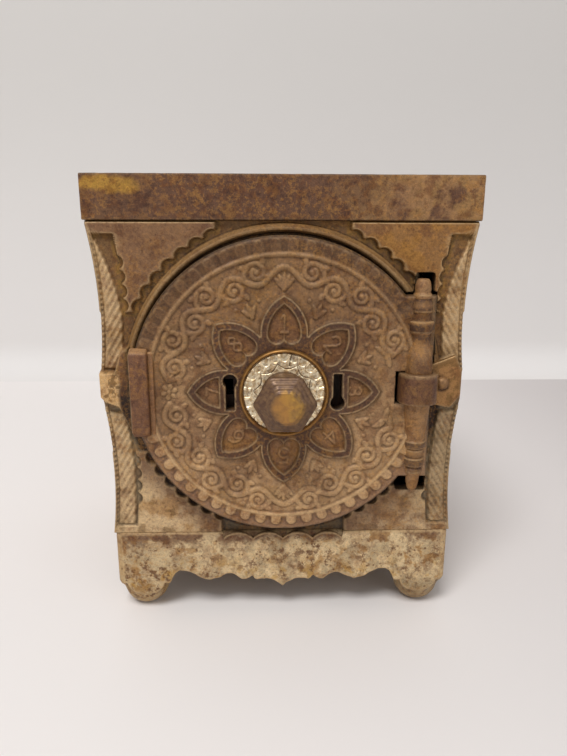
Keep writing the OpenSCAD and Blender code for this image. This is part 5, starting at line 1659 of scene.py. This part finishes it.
class COINBANK_OT_stage(bpy.types.Operator):
    """Set the camera, the soft lights and the pale floor"""
    bl_idname = "coinbank.stage"
    bl_label = "Camera, lights and floor"

    def execute(self, context):
        scene = context.scene
        self.camera(scene)
        half, near_edge, meet, cove, top = 3, -2, 0.29, 0.03, 2.5
        # The floor darkens towards the right and the backdrop towards its top: painted shade.
        self.sheet("floor", [(-half, near_edge, 0), (half, near_edge, 0), (half, meet, 0),
                             (-half, meet, 0)], [(0, 1, 2, 3)], ("X", -0.05, 0.3),
                   (0.825, 0.785, 0.765), (0.58, 0.54, 0.53))
        curve = [(meet + cove * math.sin(t), cove - cove * math.cos(t))
                 for t in np.linspace(0, QUARTER, 9)] + [(meet + cove, top)]
        self.sheet("backdrop", [(x, y, z) for y, z in curve for x in (-half, half)],
                   [(2 * i, 2 * i + 1, 2 * i + 3, 2 * i + 2) for i in range(len(curve) - 1)],
                   ("Z", 0.0, 0.32), (0.775, 0.745, 0.725), (0.60, 0.575, 0.55))
        self.world(scene)
        target = Vector((0, 0, 0.07))
        for name, place, size, power in (("key", (-0.35, -0.80, 1.5), 0.6, 19.5),
                                         ("fill", (0.6, -0.8, 0.45), 0.7, 1.2)):
            lamp = bpy.data.lights.new(name, "AREA")
            lamp.size, lamp.energy = size, power
            holder = bpy.data.objects.new(name, lamp)
            scene.collection.objects.link(holder)
            holder.location = place
            holder.rotation_euler = (target - Vector(place)).to_track_quat("-Z", "Y").to_euler()
        scene.view_settings.view_transform = "Standard"
        return {"FINISHED"}

    def camera(self, scene):
        """The camera, at the photograph's viewing angle."""
        camera = bpy.data.objects.new("Camera", bpy.data.cameras.new("Camera"))
        scene.collection.objects.link(camera)
        scene.camera = camera
        camera.data.sensor_width, camera.data.lens = 36.0, 28.57
        camera.data.clip_start = 0.01
        pitch, yaw, roll = (math.radians(a) for a in (14.192, 1.687, 0.187))
        ahead = Vector((math.sin(yaw) * math.cos(pitch), math.cos(yaw) * math.cos(pitch),
                        -math.sin(pitch)))
        right = Vector((math.cos(yaw), -math.sin(yaw), 0))
        up = right.cross(ahead)
        right, up = right * math.cos(roll) + up * math.sin(roll), \
            up * math.cos(roll) - right * math.sin(roll)
        camera.matrix_world = Matrix.Translation((-0.00555, -0.23047, 0.13391)) \
            @ Matrix((right, up, -ahead)).transposed().to_4x4()

    def sheet(self, name, points, faces, run, near, away):
        """A pale sheet of the stage, its colour running from near to away along an axis; the
        darker away colour is painted shade.
        """
        n = Finish(name + "_finish")
        axis, low, high = run
        parts = n.add("SeparateXYZ", {0: n.coordinates})
        far = n.span(parts.outputs[axis], low, high)
        lighter = n.mix(far, [1.03 * c for c in near], [1.03 * c for c in away])
        n.surface(Base_Color=n.mix(n.noise(3, 3, 0.5, 4), n.mix(far, near, away), lighter),
                  Roughness=0.7)
        mesh = bpy.data.meshes.new(name)
        mesh.from_pydata(points, [], faces)
        mesh.shade_smooth()
        mesh.materials.append(n.material)
        sheet = bpy.data.objects.new(name, mesh)
        bpy.context.scene.collection.objects.link(sheet)

    def world(self, scene):
        """Soft light all round, and a pale ground where the camera or gloss sees past it."""
        scene.world = bpy.data.worlds.new("World")
        n = Nodes(scene.world, "OutputWorld")
        light = n.add("Background", {0: (0.96, 0.98, 1.0), 1: 0.36})
        seen = n.add("Background", {0: (0.86, 0.84, 0.83)})
        rays = n.add("LightPath").outputs
        either = rays["Is Camera Ray"]
        for kind in ("Is Glossy Ray", "Is Transmission Ray"):
            either = n.maths("MAXIMUM", either, rays[kind])
        blend = n.add("MixShader", {0: either, 1: light.outputs[0], 2: seen.outputs[0]})
        n.give(n.output.inputs[0], blend.outputs[0])


# Panel

class COINBANK_PT_panel(bpy.types.Panel):
    """Sizes, colours and steps of the coin bank"""
    bl_label = "Safe coin bank"
    bl_idname = "COINBANK_PT_panel"
    bl_space_type = "VIEW_3D"
    bl_region_type = "UI"
    bl_category = "Coin bank"

    def draw(self, context):
        layout = self.layout
        for group in (context.scene.coin_bank_case, context.scene.coin_bank_door,
                      context.scene.coin_bank_colours):
            box = layout.box()
            for key in type(group).__annotations__:
                box.prop(group, key)
        for step in STEPS:
            layout.operator(step.bl_idname)


STEPS = (COINBANK_OT_stage, COINBANK_OT_front, COINBANK_OT_walls, COINBANK_OT_castings,
         COINBANK_OT_door, COINBANK_OT_hinge, COINBANK_OT_dial, COINBANK_OT_plain_parts)
CLASSES = (CoinBankCaseSizes, CoinBankDoorSizes, CoinBankColours, *STEPS, COINBANK_PT_panel)


def register():
    for cls in CLASSES:
        bpy.utils.register_class(cls)
    bpy.types.Scene.coin_bank_case = PointerProperty(type=CoinBankCaseSizes)
    bpy.types.Scene.coin_bank_door = PointerProperty(type=CoinBankDoorSizes)
    bpy.types.Scene.coin_bank_colours = PointerProperty(type=CoinBankColours)


def unregister():
    del bpy.types.Scene.coin_bank_colours
    del bpy.types.Scene.coin_bank_door
    del bpy.types.Scene.coin_bank_case
    for cls in reversed(CLASSES):
        bpy.utils.unregister_class(cls)


def main():
    register()
    for step in STEPS:
        family, name = step.bl_idname.split(".")
        getattr(getattr(bpy.ops, family), name)()


if __name__ == "__main__":
    main()
